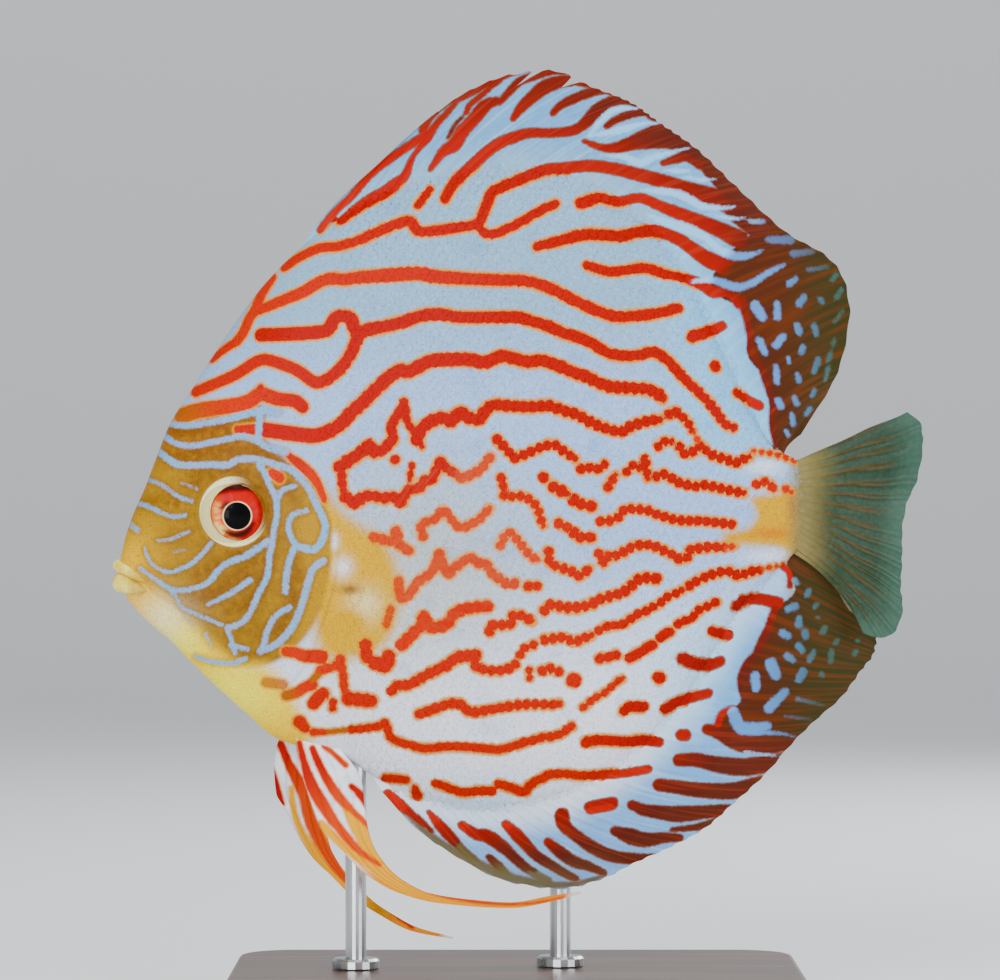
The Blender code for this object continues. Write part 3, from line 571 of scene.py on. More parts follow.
# %% Lines of the belly and the cheek's lower edge
BELLY_LINES = [
    line("629,657 641,650 651,644", 9), line("599,657 607,656 615,654", 9),
    line("393,689 398,684 409,683 422,676 433,670 446,664 457,656 468,654 476,653", (9, 11)),
    line("476,655 476,664 486,668 499,669 510,666 515,663", 9), line("529,668 529,676", 6),
    line("542,669 549,667 558,670", 9), line("573,679", 13), line("658,677", 11),
    line("583,706 592,698 601,693 610,686 621,677", (7, 6), 0.2),
    line("420,712 438,706 448,702 460,702 467,708 476,710 500,706 523,703 550,703 558,702", 9),
    line("623,710 628,706 642,706", (9, 10), -0.2), line("665,709 674,703 690,698 708,693", (9, 9), -0.2),
    line("301,721 306,727", (12, 8), 0.1), line("314,731 326,731", (6, 4), 0.5),
    line("328,731 352,728", (3, 3), 1.6),
    line("352,728 362,727 382,724 386,721 389,729 392,737 409,743 425,747 449,745 473,746 498,748"
         " 511,745 541,736 553,735 564,730 571,725", (7, 8)),
    line("586,741 599,739 627,741 641,740 659,742", (10, 9), -0.2), line("681,735 685,735", (11, 12), -0.2),
    line("682,658 694,663 710,665 720,661", (10, 10), -0.3), line("712,631 728,635", (9, 10), -0.1),
    line("736,606 745,600 760,599 778,603", (9, 12), -0.3),
    line("385,778 395,778 406,779", 7), line("415,787 417,795", (5, 10), -0.1),
    line("436,783 446,786 456,790 465,792 478,790 492,790", (7, 8)),
    line("499,783 511,787 524,791 530,784 541,778 549,774 566,773 580,775 613,774 625,773 648,769", 8),
    line("590,807 612,803", (11, 12), -0.3),
    line("288,650 298,651 306,654 323,655", (8, 12), 0.6, 0.1),
    line("322,669 331,666 339,663 342,657 344,669 346,689", (8, 7), 0.5, 0.1),
    line("350,697 372,699", (13, 13)), line("313,680 322,670", (5, 5), 1.2),
    line("268,681 285,683", (8, 8), 1.2, 1.0, 0.7), line("288,694 298,691 306,686 314,683", (8, 9), 1.2, 0.2),
    line("315,702 320,696 325,692", 11), line("334,701 334,707", 7),
    line("367,643 368,656", 11), line("376,661 387,664 390,654", 13),
]
print(len(BELLY_LINES), "strokes on the belly")

# %% Bars of the anal fin and the front edges of the dark fin parts
FIN_BARS = [
    line("388,794 401,805 412,815 422,826", (9, 10, 8, 4), 0, -0.5),
    line("418,816 431,831", (3, 5), -0.5),
    line("429,812 437,822 446,832 456,843 464,853", (4, 9, 11, 9, 5), -0.1, -0.7),
    line("462,825 476,834 487,836 502,846 514,857 525,867 535,873", (8, 10, 13, 12, 10, 9, 7), -0.2, -0.9),
    line("489,857 499,867 508,876", (6, 9, 7), -0.9, -1.4),
    line("506,824 518,836 527,846 537,856 548,863 564,873 576,879", (8, 12, 11, 10, 9, 8, 6), -0.2, -1.0),
    line("548,842 560,852 573,861 590,867 604,873", (8, 12, 11, 9, 6), -0.3, -1.1),
    line("404,812 418,824 432,836 452,850 473,861 491,870 509,877 527,881 545,884 565,885 585,882 604,876",
         (2, 5, 6, 7, 8, 8, 8, 7, 6, 5, 4, 3), -1.5, strength=0.8),
    line("456,843 466,854 476,862", (8, 9, 8), -1.5),
    line("520,863 535,874 548,881", (5, 8, 8), -1.5, strength=0.8),
    line("562,815 564,825 579,838 594,848 611,856 634,859 654,859", (14, 11, 12, 12, 11, 9), -0.45, -0.95),
    line("615,831 629,836 644,840 663,838 680,838", (9, 16, 14, 10, 7), -0.5, -0.9),
    line("632,805 644,810 657,812 680,814 728,810", (9, 13, 16, 13, 11), -0.5, -0.9),
    line("591,808 611,804", 12, -0.2), line("672,830 698,827 718,821", (4, 8), -0.9, -1.1),
    line("659,785 676,787 698,790 732,791 760,784", (12, 14, 16, 16), -0.5, -0.95),
    line("679,760 697,760 715,764 745,767 782,761", (12, 14, 17, 17, 15), -0.5, -0.9),
    line("707,729 720,733 740,743 765,745 796,741", (10, 16, 17, 17, 14), -0.5, -0.95),
    line("718,725 722,714 733,708", (8, 6), -0.1),
    line("783,566 790,574 790,586", (6, 5), 0.4, -0.6),
    line("776,604 772,618 768,630 762,642 756,655 748,664 742,680 746,694 757,702",
         (7, 9, 9, 9, 10, 13), -0.5, -0.75),
    line("741,300 747,318 751,338 752,352 761,366 767,384 773,400 772,425 776,446",
         (8, 8, 7, 8, 7, 5), -0.5, -0.8),
]
SOFT_DORSAL = [
    (706, 292), (720, 262), (748, 236), (772, 212), (800, 225), (835, 255), (860, 290), (862, 330),
    (845, 375), (825, 410), (800, 445), (784, 458), (777, 448), (769, 426), (770, 409), (767, 396),
    (760, 373), (747, 356), (747, 334), (745, 319), (737, 306),
]
SOFT_ANAL = [
    (786, 566), (797, 540), (826, 566), (850, 610), (880, 625), (885, 655), (850, 690), (815, 730),
    (790, 748), (750, 742), (716, 728), (722, 712), (740, 702), (738, 684), (748, 660), (762, 640),
    (770, 612), (792, 596), (794, 582),
]
PALE_MARKS = [
    line("588,136 600,122 610,112 622,108 638,108", (3, 8, 8, 6, 2)),
    line("588,136 600,134 615,131 630,127 645,123 658,123", (3, 6, 9, 8, 5, 2)),
    line("600,155 625,157 640,163 654,157 665,154 676,151 689,148", (2, 5, 9, 9, 7, 4, 2)),
    line("663,170 676,171 690,171", (2, 7, 4)), line("686,177 701,180 716,179", (3, 6, 2)),
    line("640,190 660,191 681,195 701,206 720,208 734,207", (3, 8, 9, 9, 7, 3)),
    line("715,216 735,219 746,218", (4, 5, 2)), line("751,222 763,222", 6, strength=0.5),
    line("650,216 670,224 688,229 706,238 718,249 735,256 751,255 763,250", (5, 9, 12, 10, 8, 10, 8, 2)),
    line("768,240 790,240", (7, 10), strength=0.5), line("793,254 812,252", (8, 6), strength=0.5),
    line("690,282 712,280 735,287 752,283 768,273 784,265", (4, 8, 9, 8, 7, 4)),
    line("808,270 828,267", (5, 5), strength=0.6),
    line("755,306 762,317", (11, 10)), line("777,304 777,317", (7, 8)), line("789,284 796,279", (7, 6)),
    line("799,304 804,297", (8, 7)), line("820,299 822,303", 6), line("797,326 799,332", 8),
    line("759,340 765,353", (8, 7)), line("776,345 783,337", (9, 8)), line("788,358 789,362", 5),
    line("776,366 777,382", (6, 7)), line("801,352 803,347", 7), line("814,326 816,335", (7, 6)),
    line("814,372 818,360", (6, 7)), line("828,360 830,354", 6), line("797,375 799,381", 6),
    line("778,401 781,406", 8), line("812,396 814,391", (5, 6)), line("792,415 793,424", 6),
    line("786,431 788,435", 5), line("825,380 828,368", 5), line("832,345 834,340", 5),
    line("834,322 842,312", (4, 5)), line("794,398 797,404", 6), line("806,414 810,409", 6),
    line("832,280 836,275", 6), line("836,298 841,290", 6),
    line("795,580 797,583", 7), line("807,595 809,591", 7), line("788,609 795,606", (8, 9)),
    line("815,608 817,604", 5), line("799,619 799,625", 8), line("818,618", 5),
    line("783,633 788,636", (9, 8)),
    line("805,632 806,636", 8), line("823,632 825,628", 7), line("836,643 838,641", 6),
    line("858,641", 5), line("799,646 802,650", 8), line("810,660 814,652", (7, 6)),
    line("831,662 832,652", (6, 7)), line("855,654 857,652", 6), line("787,656 793,660", (8, 7)),
    line("771,664 776,675", (13, 11)), line("755,676 756,688", (10, 9)), line("799,680 803,672", (8, 10)),
    line("822,675", 7), line("785,692 769,708", (9, 11)), line("797,699 826,706", (5, 3), strength=0.7),
    line("785,716 812,720", 3, strength=0.4), line("733,712 742,728 768,726", (12, 14, 8)),
    line("750,733 775,733 798,737", (6, 4, 2)), line("745,752 770,755 782,756", (4, 3, 2)),
]
print(len(FIN_BARS), "bars and", len(PALE_MARKS), "pale marks")

# %% Pale blue lines of the face
FACE_LINES = [
    line("166,423 186,426 211,423 241,417 265,411 280,412", (7, 9)),
    line("163,435 179,444 194,446 218,442 243,437 256,440 273,449 289,453", (7, 7)),
    line("262,416 261,438", 8),
    line("157,450 170,459 182,465 214,465 230,465 241,460 256,459 269,462 281,466 294,470 305,480"
         " 313,491 318,502 326,518 328,528 324,541 316,549 300,545", (8, 8)),
    line("300,545 296,540 291,528 295,515 310,510", (7, 6)),
    line("262,466 267,473 272,484 278,497 280,510 277,530 273,551 270,575 262,591 251,614 241,623"
         " 230,626", (7, 7)),
    line("280,499 286,490 298,486", (7, 6)), line("149,480 162,484 182,497 194,501", (5, 5)),
    line("184,483 200,489", (3, 4), strength=0.8), line("137,503 149,506 173,516 188,515", (6, 5)),
    line("129,523 139,530", (7, 7), strength=0.7), line("160,540 173,539 192,531", (4, 4)),
    line("175,552 188,549", (3, 3), strength=0.4),
    line("147,548 150,557 157,566 168,571 179,570 198,560 214,543", (4, 6)),
    line("142,568 159,580 175,589 190,589 210,582 227,564 249,555 270,541", (5, 8)),
    line("173,590 179,598 184,607 208,617 224,624", (4, 5)),
    line("211,603 232,593 253,579", (5, 7)), line("297,547 292,560 289,575 288,590", (7, 8)),
    line("326,560 316,567 312,577 305,601 296,623 281,641 262,650", (8, 8)),
    line("292,606 280,613 271,626 265,645", (7, 7)), line("229,627 234,641 237,652", (6, 6)),
    line("233,644 250,648", (7, 5)), line("197,656 214,661 235,662 248,657", (5, 6)),
    line("207,633 213,645", (5, 3), strength=0.6), line("187,616 194,624", (4, 3), strength=0.4),
]
print(len(FACE_LINES), "pale lines on the face")

# %% [markdown]
# Under the lines lies a ground that changes slowly: sky blue on the back, lavender on the flank, near
# white on the belly, amber on the face and yellow on the throat and round the root of each pectoral
# fin, with a small brown patch of painted shadow at that root. Slow changes need no crisp edge, so they
# are worked out at each point of the mesh and kept there as a colour. Each tint is written as the eye
# reads it and turned into light values, which add up truly.


# %% Ground colours
def tint(red, green, blue):
    """A colour of 0 to 255, as a screen shows it, in linear light."""
    parts = np.array([red, green, blue]) / 255
    linear = np.where(parts < 0.04045, parts / 12.92, ((parts + 0.055) / 1.055) ** 2.4)
    return np.array([*linear, 1.0])


LAVENDER, BACK_GREY, SKY = tint(150, 184, 230), tint(132, 172, 202), tint(94, 152, 202)
REAR_SKY, LOW_SKY, FIN_SKY = tint(124, 190, 232), tint(166, 212, 242), tint(86, 152, 212)
CHALK, CREAM, HAZE = tint(228, 233, 244), tint(246, 241, 190), tint(196, 186, 130)
AMBER, SNOUT_AMBER, BROWN = tint(148, 108, 22), tint(174, 130, 18), tint(116, 70, 20)
GOLD, YELLOW, PALE_YELLOW = tint(210, 160, 4), tint(240, 186, 0), tint(250, 236, 60)
DEEP_GOLD, FOREHEAD, EMBER = tint(208, 156, 0), tint(156, 84, 18), tint(198, 84, 4)
TAIL_ROOT = tint(134, 120, 70)

# %% Areas of the ground, as outlines and as soft patches
FACE = [
    (166, 420), (200, 418), (262, 406), (268, 440), (292, 462), (312, 480), (326, 505), (334, 530),
    (332, 570), (322, 610), (304, 640), (275, 662), (240, 668), (205, 655), (180, 620), (150, 600),
    (110, 580), (105, 520), (130, 470),
]
GILL_YELLOW = [(322, 490), (350, 520), (385, 545), (398, 590), (385, 640), (345, 655), (322, 640), (318, 560)]
GOLDEN_BASE = [
    (724, 534), (748, 529), (757, 514), (752, 499), (775, 495), (792, 489), (799, 500), (801, 540),
    (797, 560), (789, 564), (782, 549), (768, 545), (750, 544), (724, 542),
]
THROAT = [
    (100, 590), (150, 592), (190, 622), (236, 660), (275, 668), (305, 715), (312, 745), (270, 760),
    (150, 680),
]
FACE_SHADES = [
    line("178,432 215,430 262,428", (10, 12)), line("172,456 205,454 245,450 285,462", (8, 10)),
    line("200,480 225,472 250,474 266,492 270,520 262,545", (10, 12)),
    line("190,600 215,594 245,572 268,562", (12, 16)), line("200,575 225,560 245,552", (8, 10)),
    line("232,610 258,594 264,570", (10, 10)), line("286,482 300,500", (10, 8)),
    line("152,500 175,502", (8, 8)), line("300,560 296,600 280,632", (9, 9)),
]
BELLY_SHEEN, FLANK_HAZE, CHIN_CREAM = (480, 800, 60, 22), (420, 565, 120, 105), (152, 617, 34, 22)
# The last fin-root patch is painted shadow: dark brown where the pectoral fin's root shades the flank.
FIN_ROOT_CREAM, FIN_ROOT_GOLD, FIN_ROOT_PAINTED_SHADOW = (366, 604, 17, 17), (349, 622, 18, 14), (352, 588, 11, 5)
GILL_WINDOW, GILL_PATCH = (336, 541, 5, 8), (345, 566, 9, 10)
THROAT_GLOW, CHIN_GLOW = (225, 697, 62, 40), (180, 640, 36, 26)
BASE_EMBER, BASE_STREAK = (793, 508, 7, 16), (772, 533, 22, 5)
BASE_CHALK, LOW_BASE_CHALK = (765, 467, 20, 8), (768, 556, 24, 7)
ORBIT_CENTRE, ORBIT_RADIUS = on_fish([(237.2, 511.4)])[0], 7.3
EYE_CENTRE, IRIS_RADIUS = on_fish([(241.4, 512.3)])[0], 5.9


def ground(l, h):
    """The colour of the skin under its lines."""

    def patch(x, y, wide, high):
        """A soft round patch about a pixel of the photo: 1 in its middle and 0 far off."""
        (middle_l, middle_h), = on_fish([(x, y)])
        across, up = (l - middle_l) / (wide * MM_PER_PIXEL), (h - middle_h) / (high * MM_PER_PIXEL)
        return np.exp(-across ** 2 - up ** 2)

    inside_face = -zone(FACE, l, h)
    face = rising(inside_face, -0.6, 0.7)
    in_shade = rising(-field(FACE_SHADES, l, h)[0], -1.8, 1.0) * rising(inside_face, 0, 1)
    throat = rising(-zone(THROAT, l, h), -2.4, 2.6)
    layers = (
        (BACK_GREY, rising(h, 22, 48)),
        (CHALK, rising(-h, 2, 42)),
        (REAR_SKY, rising(l, 108, 126) * rising(h, 4, 22)),
        (LOW_SKY, rising(l, 104, 128) * rising(-h, 12, 30)),
        (np.where((h > 0)[:, None], SKY, FIN_SKY), 0.9 * rising(rim_gap(l, h), 0, 9)),
        (LOW_SKY, 0.6 * patch(*BELLY_SHEEN)),
        (HAZE, 0.5 * patch(*FLANK_HAZE)),
        (GOLD, rising(-zone(GILL_YELLOW, l, h), -3.2, 1.4)),
        (CREAM, 0.6 * patch(*FIN_ROOT_CREAM)),
        (DEEP_GOLD, np.minimum(1.5 * patch(*FIN_ROOT_GOLD), 1)),
        # painted shadow where the pectoral fin's root shades the flank
        (BROWN, 0.85 * patch(*FIN_ROOT_PAINTED_SHADOW)),
        (CHALK, np.maximum(patch(*GILL_WINDOW), 0.8 * patch(*GILL_PATCH))),
        (AMBER, face),
        (SNOUT_AMBER, 0.9 * face * (1 - rising(l, 6, 20))),
        (GOLD, 0.35 * face * rising(l, 36, 42)),
        (FOREHEAD, 0.75 * face * rising(h, 6, 20)),
        (BROWN, 0.65 * in_shade),
        (YELLOW, throat),
        (PALE_YELLOW, throat * np.maximum(patch(*THROAT_GLOW), patch(*CHIN_GLOW))),
        (CREAM, 0.85 * patch(*CHIN_CREAM)),
        (YELLOW, 0.7 * rising(-h, -3, 10) * (1 - rising(l, 4, 13))),
        (DEEP_GOLD, rising(-zone(GOLDEN_BASE, l, h), -1.7, 0.8)),
        (EMBER, 0.6 * np.maximum(patch(*BASE_EMBER), patch(*BASE_STREAK))),
        (CHALK, 0.8 * np.maximum(patch(*BASE_CHALK), patch(*LOW_BASE_CHALK))),
        (TAIL_ROOT, 0.9 * rising(l, 140, 144)),
    )
    shade = np.tile(LAVENDER, (len(l), 1))
    for colour, amount in layers:
        shade = shade + (colour - shade) * amount[:, None]
    return shade


# %% All markings of a piece
RED_STROKES = BACK_LINES + FLANK_LINES + MIDDLE_LINES + BELLY_LINES + FIN_BARS
PALE_STROKES = PALE_MARKS + FACE_LINES
LINE_WARMTH, FIN_DARKENING, SPOT_GROWTH = 0.5, 0.55, 0.17


def wandered(l, h, away):
    """Places moved by up to a millimetre or so in slow waves, as far as away says."""
    l = l + away * (0.9 * np.sin(h / 7.1 + 1.3) + 0.6 * np.sin(l / 5.3))
    return l, h + away * (0.8 * np.sin(l / 8.7 + 0.4) + 0.5 * np.sin(h / 4.9 + l / 11))


def beading(l, h):
    """How clearly the lines break up into beads: most of all on the middle of the rear flank."""
    middle = rising(-h, -42, -14) * (1 - rising(-h, 34, 54))
    rear = 0.45 + 0.55 * rising(l, 68, 92)
    low_rear = rising(l, 96, 112) * rising(-h, 16, 26)
    return middle * rear * (1 - low_rear) * (1 - rising(rim_gap(l, h), 0, 2))


def mark(piece, l, h, side=LEFT, flare=0.0):
    """Stores every marking for the points of a piece. The right side's lines wander a little."""
    l, h = wandered(l, h, (side > 0) * rising(np.abs(flare), 0, 3))
    red, hue, strength, run = field(RED_STROKES, l, h)
    warmth = rising(-h, -22, 18) * (1 - rising(l, 95, 118)) * (hue > -0.25)
    darker = np.maximum(hue - FIN_DARKENING * rising(rim_gap(l, h), 3, 20), -1)
    hue = np.where(hue > -1, darker, hue) + LINE_WARMTH * warmth
    pale, _, pale_strength, _ = field(PALE_STROKES, l, h)
    soft = np.minimum(zone(SOFT_DORSAL, l, h), zone(SOFT_ANAL, l, h))
    pale = pale - SPOT_GROWTH * rising(-soft, 0, 2)
    outer = np.where(h > 0, rising(l, 137, 152), rising(l, 134, 150))
    shade = ground(l, h)
    grain = rising(shade[:, 2] / shade[:, 0], 0.2, 0.95)
    dapple = 1 - rising(shade[:, 1] / shade[:, 0], 0.48, 0.62)
    store(piece, red=red, hue=hue, strength=strength, run=run, pale=pale, pale_strength=pale_strength)
    store(piece, soft=soft, outer=outer, beaded=beading(l, h), ground=shade, grain=grain, dapple=dapple)


# %% [markdown]
# A finish is a small network of shader nodes. Wiring nodes by hand is long to write and hard to read,
# so a number socket is wrapped in a class whose operators add the Math nodes: 1 - mask works as it
# does in plain Python. Any other node comes from one method that takes its kind, its settings and the
# values or wires of its sockets.


# %% Shader helpers
class Wire:
    """A number that flows through a shader."""

    def __init__(self, finish, socket):
        self.finish, self.socket = finish, socket

    def math(self, operation, *values):
        return self.finish.node("ShaderNodeMath", {"operation": operation}, *(values or (self,)))

    def __add__(self, other):
        return self.math("ADD", self, other)

    def __sub__(self, other):
        return self.math("SUBTRACT", self, other)

    def __rsub__(self, other):
        return self.math("SUBTRACT", other, self)

    def __mul__(self, other):
        return self.math("MULTIPLY", self, other)

    def __pow__(self, other):
        return self.math("POWER", self, other)

    __radd__, __rmul__ = __add__, __mul__

    def wave(self, length):
        """1, then -1, then 1 again each time the number grows by length."""
        return (self * (math.tau / length)).math("COSINE")

    def step(self, low, high):
        """0 where the number is low, 1 where it is high, with a soft rise between."""
        return self.finish.node(
            "ShaderNodeMapRange", {"interpolation_type": "SMOOTHSTEP"}, self, low, high, 0.0, 1.0
        )


class Finish:
    """A material in the making, with its Principled shader."""

    def __init__(self, name, **sockets):
        self.material = bpy.data.materials.new(name)
        self.material.use_nodes = True
        self.tree = self.material.node_tree
        self.shader = self.tree.nodes["Principled BSDF"]
        self.feed(**sockets)

    def feed(self, **sockets):
        """Sets or wires the shader's sockets, named with underscores for spaces."""
        for name, value in sockets.items():
            self.join(self.shader.inputs[name.replace("_", " ")], value)

    def join(self, socket, value):
        if isinstance(value, Wire):
            self.tree.links.new(value.socket, socket)
        else:
            socket.default_value = tuple(value) if isinstance(value, np.ndarray) else value

    def node(self, kind, settings, *values, output=0, **named):
        """Adds a node: its settings first, then its sockets by order and by name."""
        node = self.tree.nodes.new(kind)
        for name, value in settings.items():
            setattr(node, name, value)
        for key, value in [*enumerate(values), *named.items()]:
            self.join(node.inputs[key], value)
        return Wire(self, node.outputs[output])

    def stored(self, name, output="Fac"):
        """A number or a colour that the mesh holds."""
        return self.node("ShaderNodeAttribute", {"attribute_name": name}, output=output)

    def noise(self, scale, detail, stretch=(1, 1, 1)):
        """A cloudy pattern with about this many spots to a metre."""
        where = self.node("ShaderNodeTexCoord", {}, output="Object")
        where = self.node("ShaderNodeVectorMath", {"operation": "MULTIPLY"}, where, stretch)
        return self.node("ShaderNodeTexNoise", {}, Vector=where, Scale=scale, Detail=detail)

    def cloud(self, x, y, z, detail):
        """A cloudy pattern over three numbers that the mesh holds, with one spot to a unit."""
        where = self.node("ShaderNodeCombineXYZ", {}, x, y, z)
        return self.node("ShaderNodeTexNoise", {}, Vector=where, Scale=1.0, Detail=detail)

    def blend(self, amount, first, second, how="MIX"):
        """A colour between two colours, or one laid on the other in another way."""
        node = self.tree.nodes.new("ShaderNodeMix")
        node.data_type, node.blend_type = "RGBA", how
        for key, value in ((0, amount), (6, first), (7, second)):
            self.join(node.inputs[key], value)
        return Wire(self, node.outputs[2])

    def layered(self, colour, *layers):
        """A first colour with more colours laid over it, each by its own amount."""
        for amount, above in layers:
            colour = self.blend(amount, colour, above)
        return colour

    def bump(self, height, depth, strength):
        """A surface that seems raised by height times depth metres."""
        return self.node("ShaderNodeBump", {}, Height=height, Distance=depth, Strength=strength)


# %% [markdown]
# One recipe colours skin, scales and fins alike, so a line runs on unbroken from flank to fin. Over the
# ground come the brown and olive of the soft rear fin parts, the orange rims of the lines, then their
# red cores, and last the pale marks. On scales each line narrows between its beads, which leaves the
# lines of the lower flank as rows of beads. Fins add their rays as thin streaks.

# %% The marked skin
LINE_RED, LINE_DARK, LINE_ORANGE = tint(176, 6, 3), tint(84, 30, 20), tint(200, 38, 0)
LINE_OLIVE, LINE_AMBER, LINE_STREAK = tint(82, 80, 44), tint(168, 86, 12), tint(184, 62, 30)
RIM_ORANGE, RIM_BROWN = tint(214, 136, 0), tint(116, 66, 30)
SOFT_INNER, SOFT_OUTER, SOFT_STREAK = tint(76, 36, 18), tint(50, 50, 24), tint(112, 50, 18)
PALE_BLUE, PALE_VIOLET, WINDOW_GREY = tint(116, 170, 212), tint(136, 164, 204), tint(58, 84, 74)
WEDGE_BLUE, SPOT_BLUE, MARGIN_OLIVE = tint(136, 194, 238), tint(84, 136, 196), tint(96, 96, 62)
RAY_GLOW, RAY_SHADE = tint(176, 222, 248), tint(84, 140, 196)
SPECKLE, PATCH, FLECK = tint(62, 62, 74), tint(176, 206, 236), tint(150, 154, 182)
RIPPLE_SCALE, PATCH_SCALE, SPECKLE_SCALE, DAPPLE_SCALE, FLECK_SCALE = 1400, 160, 1250, 700, 2800
BEAD_PITCH, BEAD_CUT, BEAD_RIM_CUT, LINE_SPREAD = 1.8, 0.56, 0.25, 0.24
SKIN_BLUR, SKIN_RIM_REACH, FIN_BLUR, FIN_RIM_REACH, ORBIT_BLUR = 0.3, 0.74, 0.36, 0.42, 0.18


def speckled(f, patches, amount):
    """The ground of scales and fins, with fine light specks and faint blue patches."""
    speckle = f.noise(SPECKLE_SCALE, 2.0).step(0.42, 0.72)
    colour = f.blend(speckle * amount, f.stored("ground", "Color"), SPECKLE, "ADD")
    return f.blend(patches.step(0.5, 0.8) * f.stored("grain") * 0.35, colour, PATCH, "MULTIPLY")


def dappled(f, patches):
    """The ground of bare skin, dappled with brown and gold where it is amber."""
    dapple = f.stored("dapple")
    colour = f.blend(patches.step(0.45, 0.75) * dapple * 0.3, f.stored("ground", "Color"), BROWN)
    return f.blend(f.noise(DAPPLE_SCALE, 3.0).step(0.4, 0.8) * dapple * 0.25, colour, GOLD)


def line_tone(f, hue):
    """The colour of a line: red, then orange and amber above 0, dark and olive below."""
    return f.layered(
        LINE_RED,
        (hue.step(0.0, 1.0), LINE_ORANGE),
        ((hue - 1).step(0.0, 0.7), LINE_AMBER),
        ((0 - hue).step(-0.15, 0.95), LINE_DARK),
        ((0 - hue - 0.95).step(0.0, 0.4), LINE_OLIVE),
    )


def bead_depths(f, red):
    """The depths of a line's core and of its rim, which both narrow between two beads."""
    run, beaded = f.stored("run"), f.stored("beaded")
    gap = (1 - run.wave(BEAD_PITCH)) * 0.5
    core = red + gap ** 3 * beaded * BEAD_CUT + (1 - run.wave(BEAD_PITCH / 2)) * 0.03
    return core, red + gap ** 2 * beaded * BEAD_RIM_CUT


def marked(name, kind, relief=None):
    """A finish with the fish's markings, for bare skin, scales or a fin."""
    f = Finish(name, Roughness=0.42, Specular_IOR_Level=0.03, Coat_Weight=0.015, Coat_Roughness=0.15)
    ripple, patches = f.noise(RIPPLE_SCALE, 1.0) - 0.5, f.noise(PATCH_SCALE, 3.0)
    red, hue, strength = f.stored("red") + ripple * 0.4, f.stored("hue"), f.stored("strength")
    pale, pale_strength = f.stored("pale"), f.stored("pale_strength")
    pale_depth = pale + ripple * 0.7 + 0.15
    line_colour = line_tone(f, hue)
    if kind == "fin":
        outer, soft_edge = f.stored("outer"), f.stored("soft") + ripple * 0.5
        streak = f.cloud(f.stored("ray") * 3.0, f.stored("along") * 1.2, 0.0, 2.0)
        colour = speckled(f, patches, 0.5)
        colour = f.blend(streak.step(0.5, 0.8) * 0.35, colour, RAY_GLOW)
        colour = f.blend((1 - streak.step(0.2, 0.45)) * 0.25, colour, RAY_SHADE)
        brown = f.blend(outer, SOFT_INNER, SOFT_OUTER)
        brown = f.blend(streak.step(0.4, 0.7) * 0.5, brown, SOFT_STREAK)
        colour = f.blend(1 - soft_edge.step(-0.25, 0.25), colour, brown)
        line_colour = f.blend(streak.step(0.45, 0.75) * 0.25, line_colour, LINE_STREAK)
        pale_depth = pale_depth + (1 - soft_edge.step(-1.5, 0.5)) * 0.12
        pale_colour = f.blend(soft_edge.step(-1.5, 1.0), SPOT_BLUE, WEDGE_BLUE)
        pale_colour = f.blend(outer, pale_colour, WINDOW_GREY)
        core_depth = rim_depth = red
        core_strength = strength * soft_edge.step(-3.4, -0.4)
        rim_strength = strength * soft_edge.step(-0.4, 0.6)
        blur, rim_reach, rim_browning = FIN_BLUR, FIN_RIM_REACH, 1 - hue
    else:
        red = red - LINE_SPREAD
        if kind == "scales":
            colour, (core_depth, rim_depth) = speckled(f, patches, f.stored("grain")), bead_depths(f, red)
        else:
            colour, core_depth, rim_depth = dappled(f, patches), red, red
        colour = f.blend((1 - pale.step(0.0, 1.0)) * pale_strength * 0.35, colour, BROWN)
        pale_colour = f.blend(patches.step(0.4, 0.62), PALE_BLUE, PALE_VIOLET)
        core_strength = rim_strength = strength
        blur, rim_reach, rim_browning = SKIN_BLUR, SKIN_RIM_REACH, 0 - hue
    rim = (1 - rim_depth.step(0.04, rim_reach)) * rim_strength * 0.95
    colour = f.blend(rim, colour, f.blend(rim_browning.step(0.0, 0.5), RIM_ORANGE, RIM_BROWN))
    colour = f.blend((1 - core_depth.step(-0.22, 0.1)) * core_strength, colour, line_colour)
    colour = f.blend((1 - pale_depth.step(-blur, blur)) * pale_strength, colour, pale_colour)
    if kind == "fin":
        colour = f.blend(f.stored("margin") * (1 - streak.step(0.45, 0.75) * 0.4), colour, MARGIN_OLIVE)
    if kind == "bare skin":
        orbit = 1 - f.stored("orbit").step(ORBIT_RADIUS - ORBIT_BLUR, ORBIT_RADIUS + ORBIT_BLUR)
        colour = f.blend(orbit * f.stored("orbit_light"), colour, CREAM)
    if kind != "fin":
        colour = f.blend(f.noise(FLECK_SCALE, 2.0).step(0.48, 0.7) * 0.45, colour, FLECK, "MULTIPLY")
    f.feed(Base_Color=colour)
    if relief:
        f.feed(Normal=relief(f))
    return f.material


def pores(f):
    """Fine pores and soft folds of bare skin."""
    return f.bump(f.noise(900, 3.0) * 0.6 + f.noise(3200, 2.0) * 0.4, 0.00022, 0.35)


def scale_grain(f):
    """The grain of a scale: fine rings and a soft sheen of dents."""
    return f.bump(f.noise(2600, 2.0), 0.0001, 0.3)


face_finish = marked("fish_skin", "bare skin", pores)
scale_finish = marked("fish_scales", "scales", scale_grain)
fin_finish = marked("fin_skin", "fin")

# %% [markdown]
# The skin is one closed form from lip to tail. A ball is pulled into the fish's shape, so that its two
# poles close the snout and the tail's root with no seam. Its rings lie close together on the
# head, where lines are fine and eyes, nostrils and gill covers raise the surface, and wider on the
# flank, which the scales cover.

